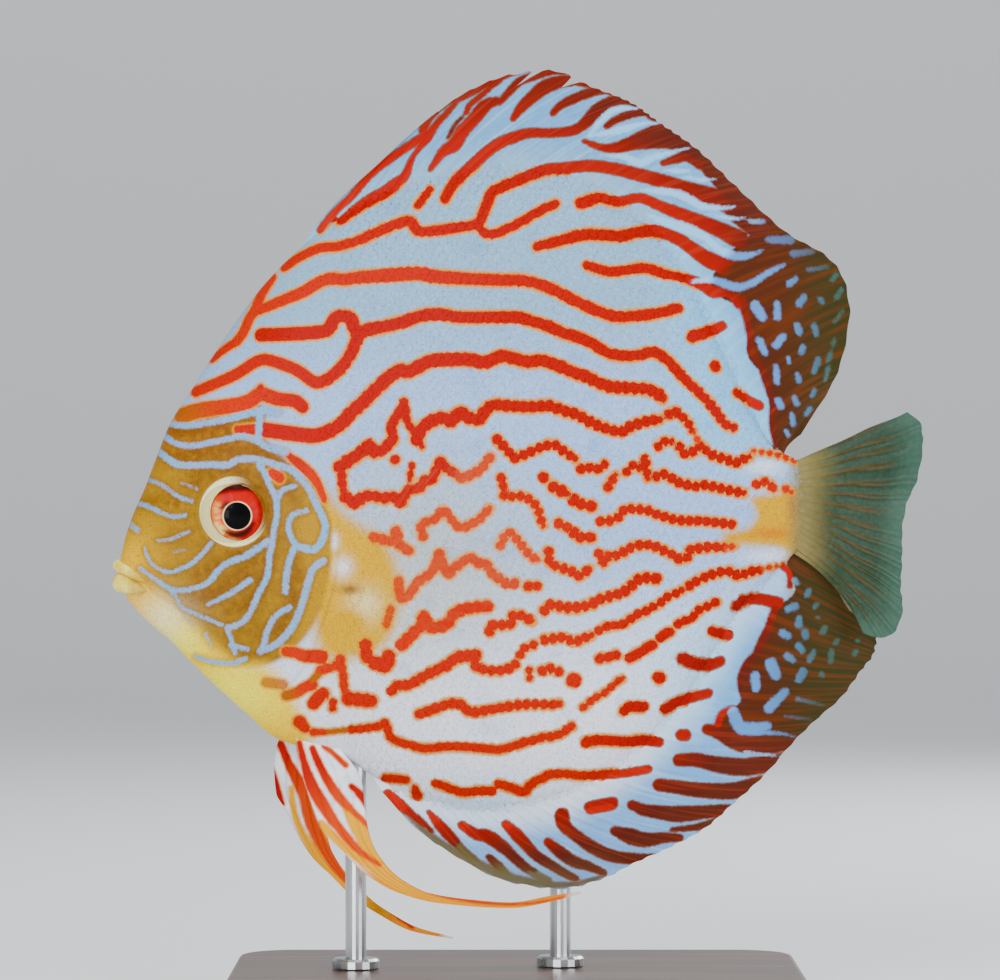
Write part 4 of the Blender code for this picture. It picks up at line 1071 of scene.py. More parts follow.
# %% Relief of the head
COVER_ROWS = [
    (10.5, 37.8, 41.4), (5.0, 37.5, 46.0), (-2.1, 37.2, 47.8), (-10.5, 36.4, 47.3),
    (-18.9, 34.8, 45.1), (-27.3, 32.0, 41.9), (-35.0, 29.8, 37.4),
]
cover_front = curve([(h, front) for h, front, rear in COVER_ROWS[::-1]])
cover_rear = curve([(h, rear) for h, front, rear in COVER_ROWS[::-1]])
COVER_LIFT = 0.55
NOSTRIL_CENTRE, NOSTRIL_RIM, NOSTRIL_DEPTH = (13.6, 3.0), 0.2, 0.7
EYE_PIT_DEPTH = 1.7
CHEEK_FOLD = on_fish([(283, 470), (279, 520), (273, 570), (256, 612), (226, 640), (190, 648)])
JAW_FOLD = on_fish([(146, 582), (158, 596), (176, 606), (190, 622)])
SNOUT_FOLD = on_fish([(150, 560), (146, 572), (150, 588)])


def ridge(at, middle, spread):
    """A smooth rise to 1 at its middle, and 0 far off."""
    return np.exp(-((at - middle) / spread) ** 2)


def relief(l, h):
    """How far the skin stands out from the smooth body, in mm."""
    reach = np.hypot(l - ORBIT_CENTRE[0], h - ORBIT_CENTRE[1])
    height = 0.42 * ridge(reach, ORBIT_RADIUS + 0.35, 0.75) + 0.25 * ridge(reach, ORBIT_RADIUS + 1.8, 1.6)
    eye_reach = np.hypot(l - EYE_CENTRE[0], h - EYE_CENTRE[1])
    height -= EYE_PIT_DEPTH * (1 - rising(eye_reach, 4.9, 6.1))
    nostril = np.hypot(l - NOSTRIL_CENTRE[0], (h - NOSTRIL_CENTRE[1]) / 1.2)
    height += NOSTRIL_RIM * ridge(nostril, 1.15, 0.4) - NOSTRIL_DEPTH * ridge(nostril, 0.0, 0.55)
    on_cover = rising(h, -35.5, -32) * (1 - rising(h, 7.5, 10.5))
    ramp = np.clip((l - cover_front(h)) / (cover_rear(h) - cover_front(h)), 0, 1)
    height += COVER_LIFT * ramp * on_cover * (1 - rising(l, cover_rear(h) - 0.1, cover_rear(h) + 0.45))
    for fold, depth, spread in ((CHEEK_FOLD, 0.2, 0.7), (JAW_FOLD, 0.3, 0.5), (SNOUT_FOLD, 0.2, 0.5)):
        gap, _ = nearest_on(smooth_route(fold), l, h)
        height -= depth * np.exp(-(gap / spread) ** 2)
    return height


# %% The skin
SKIN_RING, SKIN_STATIONS = 384, 254
SCALE_DEPTH = 0.16
bm = bmesh.new()
bmesh.ops.create_uvsphere(bm, u_segments=SKIN_RING, v_segments=SKIN_STATIONS, radius=1.0)
skin = to_mesh("skin", bm)
ball = points_of(skin)
station = np.arccos(np.clip(-ball[:, 2], -1, 1)) / math.pi
skin_l = np.interp(station, [0, 0.02, 0.64, 1], [BODY_START, BODY_START + 0.5, 50, BODY_END])
ring_angle = np.arctan2(ball[:, 1], ball[:, 0])
fold_angle = np.arcsin(np.clip(np.sin(ring_angle), -1, 1)) / (math.pi / 2)
roundness = 1 - 0.55 * rising(skin_l, 35, 60)
rim_way = (1 - roundness) * fold_angle + roundness * np.sin(fold_angle * math.pi / 2)
on_pole = np.hypot(ball[:, 0], ball[:, 1]) < 1e-4
inset = 0.02 + (SCALE_DEPTH - 0.02) * rising(skin_l, 42, 50)
level = level_at(skin_l)
rim_run = np.where(rim_way > 0, back_at(skin_l) - inset - level, level - belly_at(skin_l) - inset)
skin_h = np.where(on_pole, level, level + rim_run * rim_way)
skin_side = np.where(on_pole | (np.abs(fold_angle) > 0.9999), 0.0, np.sign(ball[:, 0]))
calm = 1 - rising(np.abs(rim_way), 0.9, 0.985)
skin_y = flank_width(skin_l, np.abs(rim_way)) - inset + relief(skin_l, skin_h) * calm
shape_to(skin, place(skin_l, skin_side * skin_y, skin_h))
mark(skin, skin_l, skin_h, skin_side, skin_y)
orbit_l, orbit_h = skin_l - ORBIT_CENTRE[0], skin_h - ORBIT_CENTRE[1]
store(skin, orbit=np.hypot(orbit_l, orbit_h), orbit_light=rising(-orbit_l - 0.45 * orbit_h, -6.5, -0.5))
unwrap_round(skin, (ring_angle / math.tau) % 1.0, station, SKIN_RING)
dress(skin, face_finish, "body_skin", "head", "jaw", "torso", "tail_base",
      "gill_cover_left", "gill_cover_right")

# %% [markdown]
# A discus is covered in small scales, and its lines are built from them: one bead of red to a scale.
# Bump alone would leave them flat at the rim, so each scale is a thin solid plate of a few faces, its
# front edge tucked into the skin and its rear edge raised over the next. One plate is made, copied for
# every place of a staggered lattice and bent to the flank.

# %% One scale
SCALE_PITCH, ROW_PITCH = 1.84, 1.62
bm = bmesh.new()
bmesh.ops.create_circle(bm, segments=8, radius=1.0, cap_ends=True, cap_tris=True)
crown = max(bm.verts, key=lambda vert: len(vert.link_edges))
bmesh.ops.subdivide_edges(bm, edges=crown.link_edges[:], cuts=1)
bmesh.ops.triangulate(bm, faces=bm.faces)
rim_edges = [edge for edge in bm.edges if edge.is_boundary]
bmesh.ops.contextual_create(bm, geom=rim_edges)
bmesh.ops.recalc_face_normals(bm, faces=bm.faces)
plate = bpy.data.meshes.new("plate")
bm.to_mesh(plate)
bm.free()
plate_points = np.array([vert.co for vert in plate.vertices])
plate_reach = np.hypot(plate_points[:, 0], plate_points[:, 1])
print("one scale has", len(plate.vertices), "points and", len(plate.polygons), "faces")


# %% All scales of one side
def row_height(row, l):
    """Rows arch gently over the flank, as the lateral line does."""
    return row * ROW_PITCH + 5.0 * (1 - ((l - 62) / 60) ** 2)


FIRST_ROW, LAST_ROW, SCALE_COLUMNS, FIRST_SCALE_L = -52, 48, 66, 28
FIN_SCALE_REACH, TAIL_SCALE_REACH, FIN_SCALE_SINK = 3.4, 1.2, 0.2
GILL_CLEARANCE, LAST_SHARE, THROAT_H, THROAT_L = 0.9, 0.985, -44, 50
SCALE_LAP, ROW_LAP, SCALE_SINK, SCALE_DOME, SCALE_TILT = 0.60, 0.66, 0.11, 0.05, 0.075
MAP_SPAN, MAP_SCALE_SIZE = 170, 0.002


def fin_reach(l, h):
    """How far scales run on to the root of a fin, in mm: nothing where no fin grows."""
    dorsal = rising(l, 42, 56) * (1 - rising(l, 128, 137))
    anal = rising(l, 57, 68) * (1 - rising(l, 130, 139))
    return FIN_SCALE_REACH * np.where(h > 0, dorsal, anal)


def scales(name, side):
    """The coat of one side: every place of the lattice behind the gill cover gets a bent plate."""
    rows, columns = np.meshgrid(np.arange(FIRST_ROW, LAST_ROW), np.arange(SCALE_COLUMNS), indexing="ij")
    l = (FIRST_SCALE_L + (columns + (rows % 2) / 2) * SCALE_PITCH).ravel()
    h = row_height(rows.ravel(), l)
    random = np.random.default_rng(11)
    l += random.uniform(-0.07, 0.07, l.shape)
    h += random.uniform(-0.06, 0.06, h.shape)
    share = rim_share(l, h)
    kept = (l > gill_edge_at(h) + GILL_CLEARANCE) & (l < BODY_END + TAIL_SCALE_REACH)
    kept &= (share < LAST_SHARE) | ((rim_gap(l, h) < fin_reach(l, h)) & (l < BODY_END))
    kept &= ~((h < THROAT_H) & (l < THROAT_L))
    l, h, share = l[kept], h[kept], share[kept]
    size = 1.0 - 0.04 * rising(share, 0.8, 1.0)
    bm = bmesh.new()
    for _ in range(len(l)):
        bm.from_mesh(plate)
    piece = to_mesh(name, bm)
    along, across = np.tile(plate_points[:, 0], len(l)), np.tile(plate_points[:, 1], len(l))
    reach = np.tile(plate_reach, len(l))
    copies = len(plate_points)
    centre_l, centre_h, big = (np.repeat(value, copies) for value in (l, h, size))
    point_l = centre_l + along * big * SCALE_PITCH * SCALE_LAP
    point_h = centre_h + across * big * ROW_PITCH * ROW_LAP
    edge = np.where(point_h > level_at(point_l), back_at(point_l), belly_at(point_l))
    middle = level_at(point_l)
    allowed = np.abs(edge - middle) + 2.4 * fin_reach(point_l, point_h)
    point_h = np.clip(point_h, middle - allowed, middle + allowed)
    thick = -SCALE_SINK + SCALE_DOME * (1 - reach ** 2) + SCALE_TILT * along
    last_gap = np.where(centre_l > BODY_END, TAIL_SCALE_REACH, FIN_SCALE_REACH)
    thick -= FIN_SCALE_SINK * rising(rim_gap(centre_l, centre_h), 0.3, last_gap)
    slope_l = (side_at(point_l + 0.2, point_h) - side_at(point_l - 0.2, point_h)) / 0.4
    slope_h = (side_at(point_l, point_h + 0.2) - side_at(point_l, point_h - 0.2)) / 0.4
    slope_l, slope_h = np.clip(slope_l, -1.5, 1.5), np.clip(slope_h, -1.5, 1.5)
    steep = np.sqrt(1 + slope_l ** 2 + slope_h ** 2)
    y = side_at(point_l, point_h) + thick / steep
    y = side * y + tail_sway(point_l)
    shape_to(piece, place(point_l - thick * slope_l / steep, y, point_h - thick * slope_h / steep), 60)
    read_l = point_l * 0.85 + centre_l * 0.15
    read_h = point_h * 0.85 + centre_h * 0.15
    mark(piece, read_l, read_h, side, np.abs(y))
    map_u, map_v = centre_l / MAP_SPAN, centre_h / MAP_SPAN + 0.5
    unwrap(piece, map_u + along * MAP_SCALE_SIZE, map_v + across * MAP_SCALE_SIZE)
    print(name, "is", len(l), "scales")
    return piece


for name, side in (("scales_left", LEFT), ("scales_right", RIGHT)):
    dress(scales(name, side), scale_finish, "body_skin")

# %% [markdown]
# The eye is a polished ball set deep in its orbit. Its finish is drawn by the distance from the middle
# of the iris: a black pupil, a thin ring of gold, then red that turns to orange in front, with a dark
# crescent of painted shadow above, where the orbit's rim shades the ball. A clear coat gives the wet
# shine of a live eye. Where ball and skin meet lies a thin roll of skin, a ring spun from a small
# circle, because the crossing of two curved meshes alone would be ragged.

# %% Eyes
EYE_L, EYE_H, EYE_RADIUS, EYE_HALF_DEPTH, EYE_CENTRE_Y = 26.0, 1.2, 7.4, 4.2, 8.6
PUPIL_CENTRE, PUPIL_RADIUS, GOLD_RADIUS = on_fish([(240.4, 515.6)])[0], 2.8, 3.05
# Painted shadow on the iris: a dark crescent under the orbit's upper rim, a smudge at the upper left and an
# arc below the pupil.
SHADOWS = [
    line("220,494 226,491 233,488 241,487 253,487 262,491 268,500", (2, 6, 9, 9, 8, 6, 2)),
    line("224,508 230,504", (4, 6)), line("227,530 236,534 243,534 250,531 256,523", (3, 7, 8, 7, 4)),
]
GLINTS = [line("219,523 226,531", (5, 7)), line("220,506 220,516", 5), line("232,540 241,542", 3)]


def orbit_light(l, h):
    """How pale the rim of the orbit is: cream in front and below, dark behind and above."""
    return rising(EYE_CENTRE[0] - l + 0.6 * (EYE_CENTRE[1] - h), -4.5, 1.5)


def eye_ball_y(l, h):
    """How far the ball's surface lies from the fish's middle plane."""
    reach = np.hypot(l - EYE_L, h - EYE_H) / EYE_RADIUS
    return EYE_CENTRE_Y + EYE_HALF_DEPTH * np.sqrt(np.clip(1 - reach ** 2, 0, 1))


RIM_DARK, RIM_PALE = tint(118, 78, 22), tint(216, 206, 142)
IRIS_RED, IRIS_BRIGHT, IRIS_GLOW = tint(180, 2, 8), tint(196, 14, 8), tint(214, 84, 14)
IRIS_GLINT, IRIS_PAINTED_SHADOW, IRIS_EDGE = tint(238, 196, 110), tint(24, 12, 12), tint(92, 20, 12)
PUPIL_RING, PUPIL_BLACK, SPOKE_COUNT = tint(252, 214, 160), tint(5, 5, 7), 4.5
f = Finish("eye_glaze", Roughness=0.4, Coat_Weight=0.06, Coat_Roughness=0.04, Specular_IOR_Level=0.03)
reach, pupil_reach = f.stored("reach"), f.stored("pupil_reach")
spoke_x, spoke_y = f.stored("spoke_x") * SPOKE_COUNT, f.stored("spoke_y") * SPOKE_COUNT
spokes = f.cloud(spoke_x, spoke_y, reach * 0.25, 3.0)
rim_tone = f.blend(f.stored("orbit_light"), RIM_DARK, RIM_PALE)
f.feed(Base_Color=f.layered(
    IRIS_RED,
    (spokes.step(0.35, 0.7), IRIS_BRIGHT),
    (f.stored("glow") * 0.85, IRIS_GLOW),
    ((1 - f.stored("glint").step(-0.5, 0.9)) * spokes.step(0.25, 0.6), IRIS_GLINT),
    # painted shadow from the dark crescent and smudges of the shadow strokes
    ((1 - f.stored("shade").step(-0.7, 0.5)) * 0.94, IRIS_PAINTED_SHADOW),
    (reach.step(IRIS_RADIUS - 0.5, IRIS_RADIUS - 0.1) * 0.6, IRIS_EDGE),
    ((1 - pupil_reach.step(GOLD_RADIUS - 0.1, GOLD_RADIUS + 0.14)) * f.stored("gold"), PUPIL_RING),
    (1 - pupil_reach.step(PUPIL_RADIUS - 0.04, PUPIL_RADIUS + 0.12), PUPIL_BLACK),
    (reach.step(IRIS_RADIUS - 0.1, IRIS_RADIUS + 0.1), rim_tone),
))
eye_finish = f.material

f = Finish("eye_rim_skin", Roughness=0.4, Coat_Weight=0.1, Specular_IOR_Level=0.15)
rim_tone = f.blend(f.stored("orbit_light"), RIM_DARK, RIM_PALE)
f.feed(Base_Color=f.blend(f.noise(900, 2.0).step(0.4, 0.7) * 0.3, rim_tone, BROWN))
f.feed(Normal=pores(f))
eye_rim_finish = f.material

LID_RADIUS, LID_ROLL = 6.0, 0.2
for name, side in (("left", LEFT), ("right", RIGHT)):
    bm = bmesh.new()
    bmesh.ops.create_uvsphere(bm, u_segments=128, v_segments=96, radius=1.0)
    eyeball = to_mesh("eyeball_" + name, bm)
    ball = points_of(eyeball)
    l, h = EYE_L + EYE_RADIUS * ball[:, 0], EYE_H + EYE_RADIUS * ball[:, 1]
    flat = EYE_CENTRE_Y + EYE_HALF_DEPTH * ball[:, 2]
    shape_to(eyeball, place(l, side * flat, h))
    away_l, away_h = l - EYE_CENTRE[0], h - EYE_CENTRE[1]
    reach = np.hypot(away_l, away_h)
    safe = np.maximum(reach, 1e-3)
    pupil_l, pupil_h = l - PUPIL_CENTRE[0], h - PUPIL_CENTRE[1]
    outside = flat > EYE_CENTRE_Y
    store(eyeball, reach=reach, spoke_x=away_l / safe, spoke_y=away_h / safe)
    store(eyeball, pupil_reach=np.where(outside, np.hypot(pupil_l, pupil_h), 9.0))
    store(eyeball, orbit_light=orbit_light(l, h))
    store(eyeball, shade=field(SHADOWS, l, h)[0], glint=field(GLINTS, l, h)[0])
    store(eyeball, glow=rising(-away_l - 0.5 * away_h, 1.0, 5.0))
    store(eyeball, gold=0.55 + 0.45 * rising(np.abs(pupil_l + 0.4 * pupil_h), 0.4, 2.4))
    dress(eyeball, eye_finish, "eye", "eye_" + name)

    bm = bmesh.new()
    bmesh.ops.create_circle(bm, segments=12, radius=LID_ROLL)
    bmesh.ops.rotate(bm, verts=bm.verts[:], matrix=Matrix.Rotation(math.pi / 2, 3, "X"))
    bmesh.ops.translate(bm, verts=bm.verts[:], vec=(LID_RADIUS, 0, 0))
    bmesh.ops.spin(bm, geom=bm.edges[:] + bm.verts[:], cent=(0, 0, 0), axis=(0, 0, 1), angle=math.tau,
                   steps=128, use_merge=True)
    lid = to_mesh("eye_rim_" + name, bm)
    roll = points_of(lid)
    turn = np.arctan2(roll[:, 1], roll[:, 0])
    l, h = EYE_CENTRE[0] + roll[:, 0], EYE_CENTRE[1] + roll[:, 1]
    ring_l, ring_h = EYE_CENTRE[0] + LID_RADIUS * np.cos(turn), EYE_CENTRE[1] + LID_RADIUS * np.sin(turn)
    seat = np.maximum(eye_ball_y(ring_l, ring_h), half_width(ring_l, ring_h) + relief(ring_l, ring_h) - 0.1)
    shape_to(lid, place(l, side * (seat + roll[:, 2] * 0.8 - 0.05), h))
    store(lid, orbit_light=orbit_light(l, h))
    dress(lid, eye_rim_finish, "head_skin")

# %% [markdown]
# The lips are soft rolls that meet at the corners of the mouth. Each is a ball drawn out round the
# snout, thick in front and thin at its ends, then wrinkled a little.

# %% Lips
MOUTH_CORNER_L, MOUTH_FRONT_L, MOUTH_HALF_WIDTH = 7.3, 1.35, 5.3
UPPER_LIP = (-9.5, -12.85, 1.35, 1.3, 0.75)
LOWER_LIP = (-13.1, -14.75, 1.4, 2.05, 0.8)
LIP_PALE, LIP_YELLOW = tint(250, 240, 120), tint(236, 206, 60)
f = Finish("lip_skin", Roughness=0.4, Coat_Weight=0.15, Specular_IOR_Level=0.15)
lip_tone = f.blend(f.noise(420, 3.0).step(0.35, 0.7), LIP_PALE, LIP_YELLOW)
f.feed(Base_Color=f.blend(f.stored("corner").step(0.75, 1.0) * 0.7, lip_tone, SNOUT_AMBER))
f.feed(Normal=f.bump(f.noise(1500, 3.0), 0.0003, 0.4))
lip_finish = f.material


def lip(name, front_h, corner_h, depth, half_height, corner_radius):
    """A roll round the snout, from its heights and its size in front and at the corners."""
    bm = bmesh.new()
    bmesh.ops.create_uvsphere(bm, u_segments=48, v_segments=96, radius=1.0)
    piece = to_mesh(name + "_roll", bm)
    ball = points_of(piece)
    turn = np.arcsin(np.clip(ball[:, 2], -1, 1))
    bend = np.cos(turn)
    spin = np.arctan2(ball[:, 1], ball[:, 0])
    open_end = rising(bend, 0.0, 0.3) ** 0.5
    crease = 1 + 0.04 * np.sin(turn * 40) * np.maximum(np.cos(spin), 0)
    out = (corner_radius + (depth - corner_radius) * bend) * np.cos(spin) * open_end * crease
    up = (corner_radius + (half_height - corner_radius) * bend) * np.sin(spin) * open_end
    l = MOUTH_CORNER_L - (MOUTH_CORNER_L - MOUTH_FRONT_L) * bend
    h = corner_h + (front_h - corner_h) * bend
    y = MOUTH_HALF_WIDTH * np.sin(turn)
    shape_to(piece, place(l - out * bend, y + out * np.sin(turn), h + up))
    store(piece, corner=np.abs(np.sin(turn)))
    dress(piece, lip_finish, "lips", name)


lip("lip_upper", *UPPER_LIP)
lip("lip_lower", *LOWER_LIP)

# %% [markdown]
# Each upright fin is a fan of rays joined by a thin skin. The sheet is a fine grid given two faces.
# Across the rays its thickness swells at every ray and thins between them, and towards the
# margin each soft ray divides in two. Spines end in a small free tip, so the skin between them is cut
# back.


# %% Fin sheets
def fin_sheet(name, columns, rows, shape):
    """A closed two-faced sheet. shape gives L, Y and H from u across, v along and the face."""
    bm = bmesh.new()
    bmesh.ops.create_grid(bm, x_segments=columns, y_segments=rows, size=1.0)
    front_points = len(bm.verts)
    bmesh.ops.extrude_face_region(bm, geom=bm.faces[:], use_keep_orig=True)
    piece = to_mesh(name, bm)
    flat = points_of(piece)
    u, v = (flat[:, 0] + 1) / 2, (flat[:, 1] + 1) / 2
    face = np.where(np.arange(len(u)) < front_points, -1.0, 1.0)
    bm = bmesh.new()
    bm.from_mesh(piece.data)
    l, y, h = shape(u, v, face)
    for vert, point in zip(bm.verts, place(l, y, h)):
        vert.co = point
    bmesh.ops.recalc_face_normals(bm, faces=bm.faces)
    bm.to_mesh(piece.data)
    bm.free()
    shape_to(piece, place(l, y, h), 50)
    sheet_map(piece, u, v, face)
    return piece, u, v, l, h


MAP_MARGIN = 0.01


def sheet_map(piece, u, v, face):
    """The flat map of a sheet: its front in the lower half and its rear in the upper half."""
    corner, start, own_face = face_rows(piece.data)
    rear = (np.minimum.reduceat(face[corner], start) > 0)[own_face]
    across = MAP_MARGIN + (1 - 2 * MAP_MARGIN) * u[corner]
    write_map(piece, across, MAP_MARGIN + (0.5 - 2 * MAP_MARGIN) * v[corner] + 0.5 * rear)


RAY_RIDGE = 0.2
RAY_SPLIT = 0.55


def ray_profile(phase, v):
    """1 on a ray and 0 between rays; past the split each ray has become two."""
    single = np.maximum(np.cos(phase * math.tau), 0) ** 3
    twin = sum(np.maximum(np.cos((phase + shift) * math.tau), 0) ** 6 for shift in (-0.16, 0.16))
    amount = rising(v, RAY_SPLIT - 0.12, RAY_SPLIT + 0.12)
    return single * (1 - amount) + np.clip(twin, 0, 1) * amount


def fin_half_thickness(phase, v, soft=1.0):
    """Half the thickness of web and rays. Spines, where soft is 0, don't divide."""
    return FIN_WEB * (1 - 0.3 * v) + RAY_RIDGE * (1 - 0.5 * v) * ray_profile(phase, v * soft)


# %% Dorsal and anal fin
DORSAL_RAYS = [
    (39.9, 43.1, 62.4), (42.4, 47.7, 67.4), (45.6, 54.4, 73.5), (49.8, 67.4, 85.1),
    (55.0, 75.0, 90.3), (60.3, 83.6, 93.7), (65.5, 92.2, 94.7), (70.8, 100.2, 91.4),
    (81.3, 109.0, 87.8), (91.8, 114.9, 83.6), (102.3, 122.6, 78.1), (110.7, 131.3, 69.7),
    (118.0, 141.8, 60.1), (124.3, 150.6, 54.8), (127.5, 153.7, 50.2), (130.6, 154.8, 43.7),
    (134.2, 153.1, 33.6), (136.9, 151.0, 28.4), (139.0, 148.0, 23.5), (140.6, 144.3, 17.9),
]
ANAL_RAYS = [
    (54.6, 56.9, -57.4), (57.1, 63.4, -64.5), (61.5, 70.8, -69.9), (66.6, 83.4, -76.2),
    (71.8, 93.9, -77.7), (77.1, 102.3, -75.8), (83.4, 109.6, -72.2), (89.7, 117.4, -68.7),
    (96.0, 124.3, -64.9), (102.3, 130.6, -59.4), (108.0, 136.9, -53.6), (112.8, 143.2, -46.4),
    (117.0, 148.0, -41.8), (121.2, 153.3, -37.2), (126.4, 157.3, -31.9), (131.7, 160.2, -28.1),
    (136.9, 160.8, -24.6), (142.3, 159.0, -20.5),
]
DORSAL_COUNT, ANAL_COUNT, TAIL_COUNT = 41, 36, 16
DORSAL_SPINES, ANAL_SPINES = 10, 8
RAY_BOW, LAST_ANAL_BOW, LAST_TAIL_BOW = 0.16, -0.45, 0.35
DORSAL_WAVE, ANAL_WAVE, TAIL_WAVE = 1.6, 1.2, 0.5
ANAL_SWING, TAIL_RIPPLE = 3.8, 0.22
ANAL_SWING_START, ANAL_SWING_END = 132.0, 160.0
ROOT_DEPTH = 1.6
COLUMNS_PER_RAY, FIN_ROWS, TAIL_COLUMNS_PER_RAY, TAIL_ROWS = 8, 70, 12, 80
PAIRED_COLUMNS_PER_RAY, PECTORAL_ROWS, PELVIC_ROWS = 10, 60, 220
SPINE_LAPPET, RAY_LAPPET = 0.8, 0.35
DORSAL_SLITS = {4: 1.5, 9: 5.0, 11: 3.4}


def margin_at(l, h):
    """How strongly the margin turns olive: on the front of the anal fin and the crest's front."""
    return np.where(h < 0, 0.45 * (1 - rising(l, 84, 108)), 0.2 * (1 - rising(l, 66, 80)))


def upright_fin(name, rays, count, spines, edge_at, up, bow_at, sway, slits):
    """A fin on the back, where up is 1, or on the belly, where it is -1, from rows of foot and tip."""
    first, last = rays[0][0], rays[-1][0]
    rows = sorted(rays)
    tip_l = curve([(foot, l) for foot, l, h in rows])
    tip_h = curve([(foot, h) for foot, l, h in rows])
    spiny = (spines - 0.5) / (count - 1)

    def shape(u, v, face):
        foot = first + (last - first) * u
        root_h = edge_at(foot)
        reach_l, reach_h = tip_l(foot) - foot, tip_h(foot) - root_h
        length = np.hypot(reach_l, reach_h)
        phase = u * (count - 1)
        between = (1 - np.cos(phase * math.tau)) / 2
        soft = rising(u, spiny - 0.05, spiny + 0.1)
        lappet = (SPINE_LAPPET + (RAY_LAPPET - SPINE_LAPPET) * soft) * between ** 0.7
        for gap, depth in slits.items():
            lappet += np.where(np.floor(phase) == gap, depth * between ** 5, 0.0)
        reach = 1 - np.minimum(lappet / length, 0.4) * np.minimum(length / 12, 1) * v ** 3
        along = v * reach
        bow = bow_at(u) * along * (1 - along)
        l = foot + reach_l * along - bow * np.abs(reach_h)
        h = root_h + reach_h * along + bow * np.abs(reach_l) * up
        gap = rim_gap(l, h)
        swell = root_swell(l, gap)
        y = sway(l, v) + face * (swell + fin_half_thickness(phase, v, soft) * (1 - 0.3 * np.exp(-gap)))
        return l, y, h - ROOT_DEPTH * (1 - v) ** 8 * up

    piece, u, v, l, h = fin_sheet(name, COLUMNS_PER_RAY * (count - 1), FIN_ROWS, shape)
    mark(piece, l, h)
    store(piece, ray=u * (count - 1), along=v, margin=margin_at(l, h) * rising(v, 0.6, 0.9))
    return piece


def anal_swing(l, v):
    """The anal fin waves in front and swings to the fish's right behind."""
    behind = np.clip((l - ANAL_SWING_START) / (ANAL_SWING_END - ANAL_SWING_START), 0, 1)
    return ANAL_WAVE * v * v * np.sin(l / 14.0) * (1 - behind) + ANAL_SWING * behind ** 2


dorsal = upright_fin(
    "dorsal_web", DORSAL_RAYS, DORSAL_COUNT, DORSAL_SPINES, back_at, 1.0,
    lambda u: RAY_BOW, lambda l, v: DORSAL_WAVE * v * v * np.sin(l / 13.0), DORSAL_SLITS,
)
dress(dorsal, fin_finish, "fin_membrane", "dorsal_fin")
anal = upright_fin(
    "anal_web", ANAL_RAYS, ANAL_COUNT, ANAL_SPINES, belly_at, -1.0,
    lambda u: RAY_BOW + (LAST_ANAL_BOW - RAY_BOW) * u ** 12, anal_swing, {},
)
dress(anal, fin_finish, "fin_membrane", "anal_fin")

# %% [markdown]
# The pectoral fins are nearly clear, so that the lines of the flank show through them, and the tail
# fin is a dusky green. One finish serves both. It sets Alpha from the same rays that shape the ridges,
# so colour and form agree.

# %% Clear fins
TAIL_RAYS = [
    (12.2, 166.3, 22.7), (11.2, 169.1, 20.0), (9.2, 169.5, 15.8), (7.2, 168.4, 8.4),
    (5.2, 166.3, 3.2), (3.2, 165.3, -3.2), (1.2, 165.3, -8.4), (-0.8, 165.1, -13.7),
    (-2.8, 165.5, -17.9), (-4.4, 163.8, -23.1), (-5.8, 160.7, -24.6), (-7.0, 157.3, -23.9),
]


def clear_finish(name, root, ray, web, rim, root_reach, web_cover, ray_cover):
    """A see-through fin. Cover is how solid its web and its rays look, from 0 to 1."""
    f = Finish(name, Roughness=0.4, Coat_Weight=0.04, Specular_IOR_Level=0.08)
    on_ray, bent = f.stored("on_ray"), f.stored("along") + (f.noise(700, 2.0) - 0.5) * 0.12
    colour = f.layered(
        web,
        (on_ray * (1 - bent.step(0.6, 0.9)), ray),
        ((1 - bent.step(0.0, root_reach * 1.4)) * 0.95, root),
        (bent.step(0.72, 1.0) * 0.8, rim),
        (f.noise(1500, 3.0).step(0.35, 0.75) * 0.1, root),
    )
    solid = 1 - bent.step(root_reach * 0.2, root_reach)
    cover = web_cover + on_ray * (ray_cover - web_cover)
    f.feed(Base_Color=colour, Alpha=cover + (1 - cover) * solid)
    return f.material


tail_finish = clear_finish(
    "tail_skin", root=TAIL_ROOT, ray=tint(66, 54, 22), web=tint(28, 60, 44), rim=tint(56, 94, 80),
    root_reach=0.3, web_cover=0.92, ray_cover=0.97,
)


def tail_shape(u, v, face):
    """L, Y and H of the tail fin, whose rays spread from the end of the body."""
    tip_l = curve([(-foot, l) for foot, l, h in TAIL_RAYS])
    tip_h = curve([(-foot, h) for foot, l, h in TAIL_RAYS])
    foot = TAIL_RAYS[0][0] + (TAIL_RAYS[-1][0] - TAIL_RAYS[0][0]) * u
    phase = u * (TAIL_COUNT - 1)
    notch = (1 - np.cos(phase * math.tau)) / 2 * 0.2 * v ** 4
    reach_l, reach_h = tip_l(-foot) - BODY_END, tip_h(-foot) - foot
    bow = LAST_TAIL_BOW * v * (1 - v) * u ** 6
    l = BODY_END - 1.0 + (reach_l + 1.0) * v + bow * np.abs(reach_h) - notch
    h = foot + reach_h * v + bow * np.abs(reach_l)
    past = np.maximum(l - BODY_END, 0.0)
    h = h + TAIL_RIPPLE * v * np.sin(l / 1.9 + 7 * u)
    y = tail_sway(l) + TAIL_WAVE * v * np.sin(h / 3.2)
    return l, y + face * (tail_swell(l, foot) + fin_half_thickness(phase, v) * (1 - 0.5 * np.exp(-past))), h


tail, u, v, _, _ = fin_sheet("tail_web", TAIL_COLUMNS_PER_RAY * (TAIL_COUNT - 1), TAIL_ROWS, tail_shape)
store(tail, along=v, on_ray=rising(np.cos(u * (TAIL_COUNT - 1) * math.tau), 0.1, 0.95))
dress(tail, tail_finish, "clear_fin", "caudal_fin")

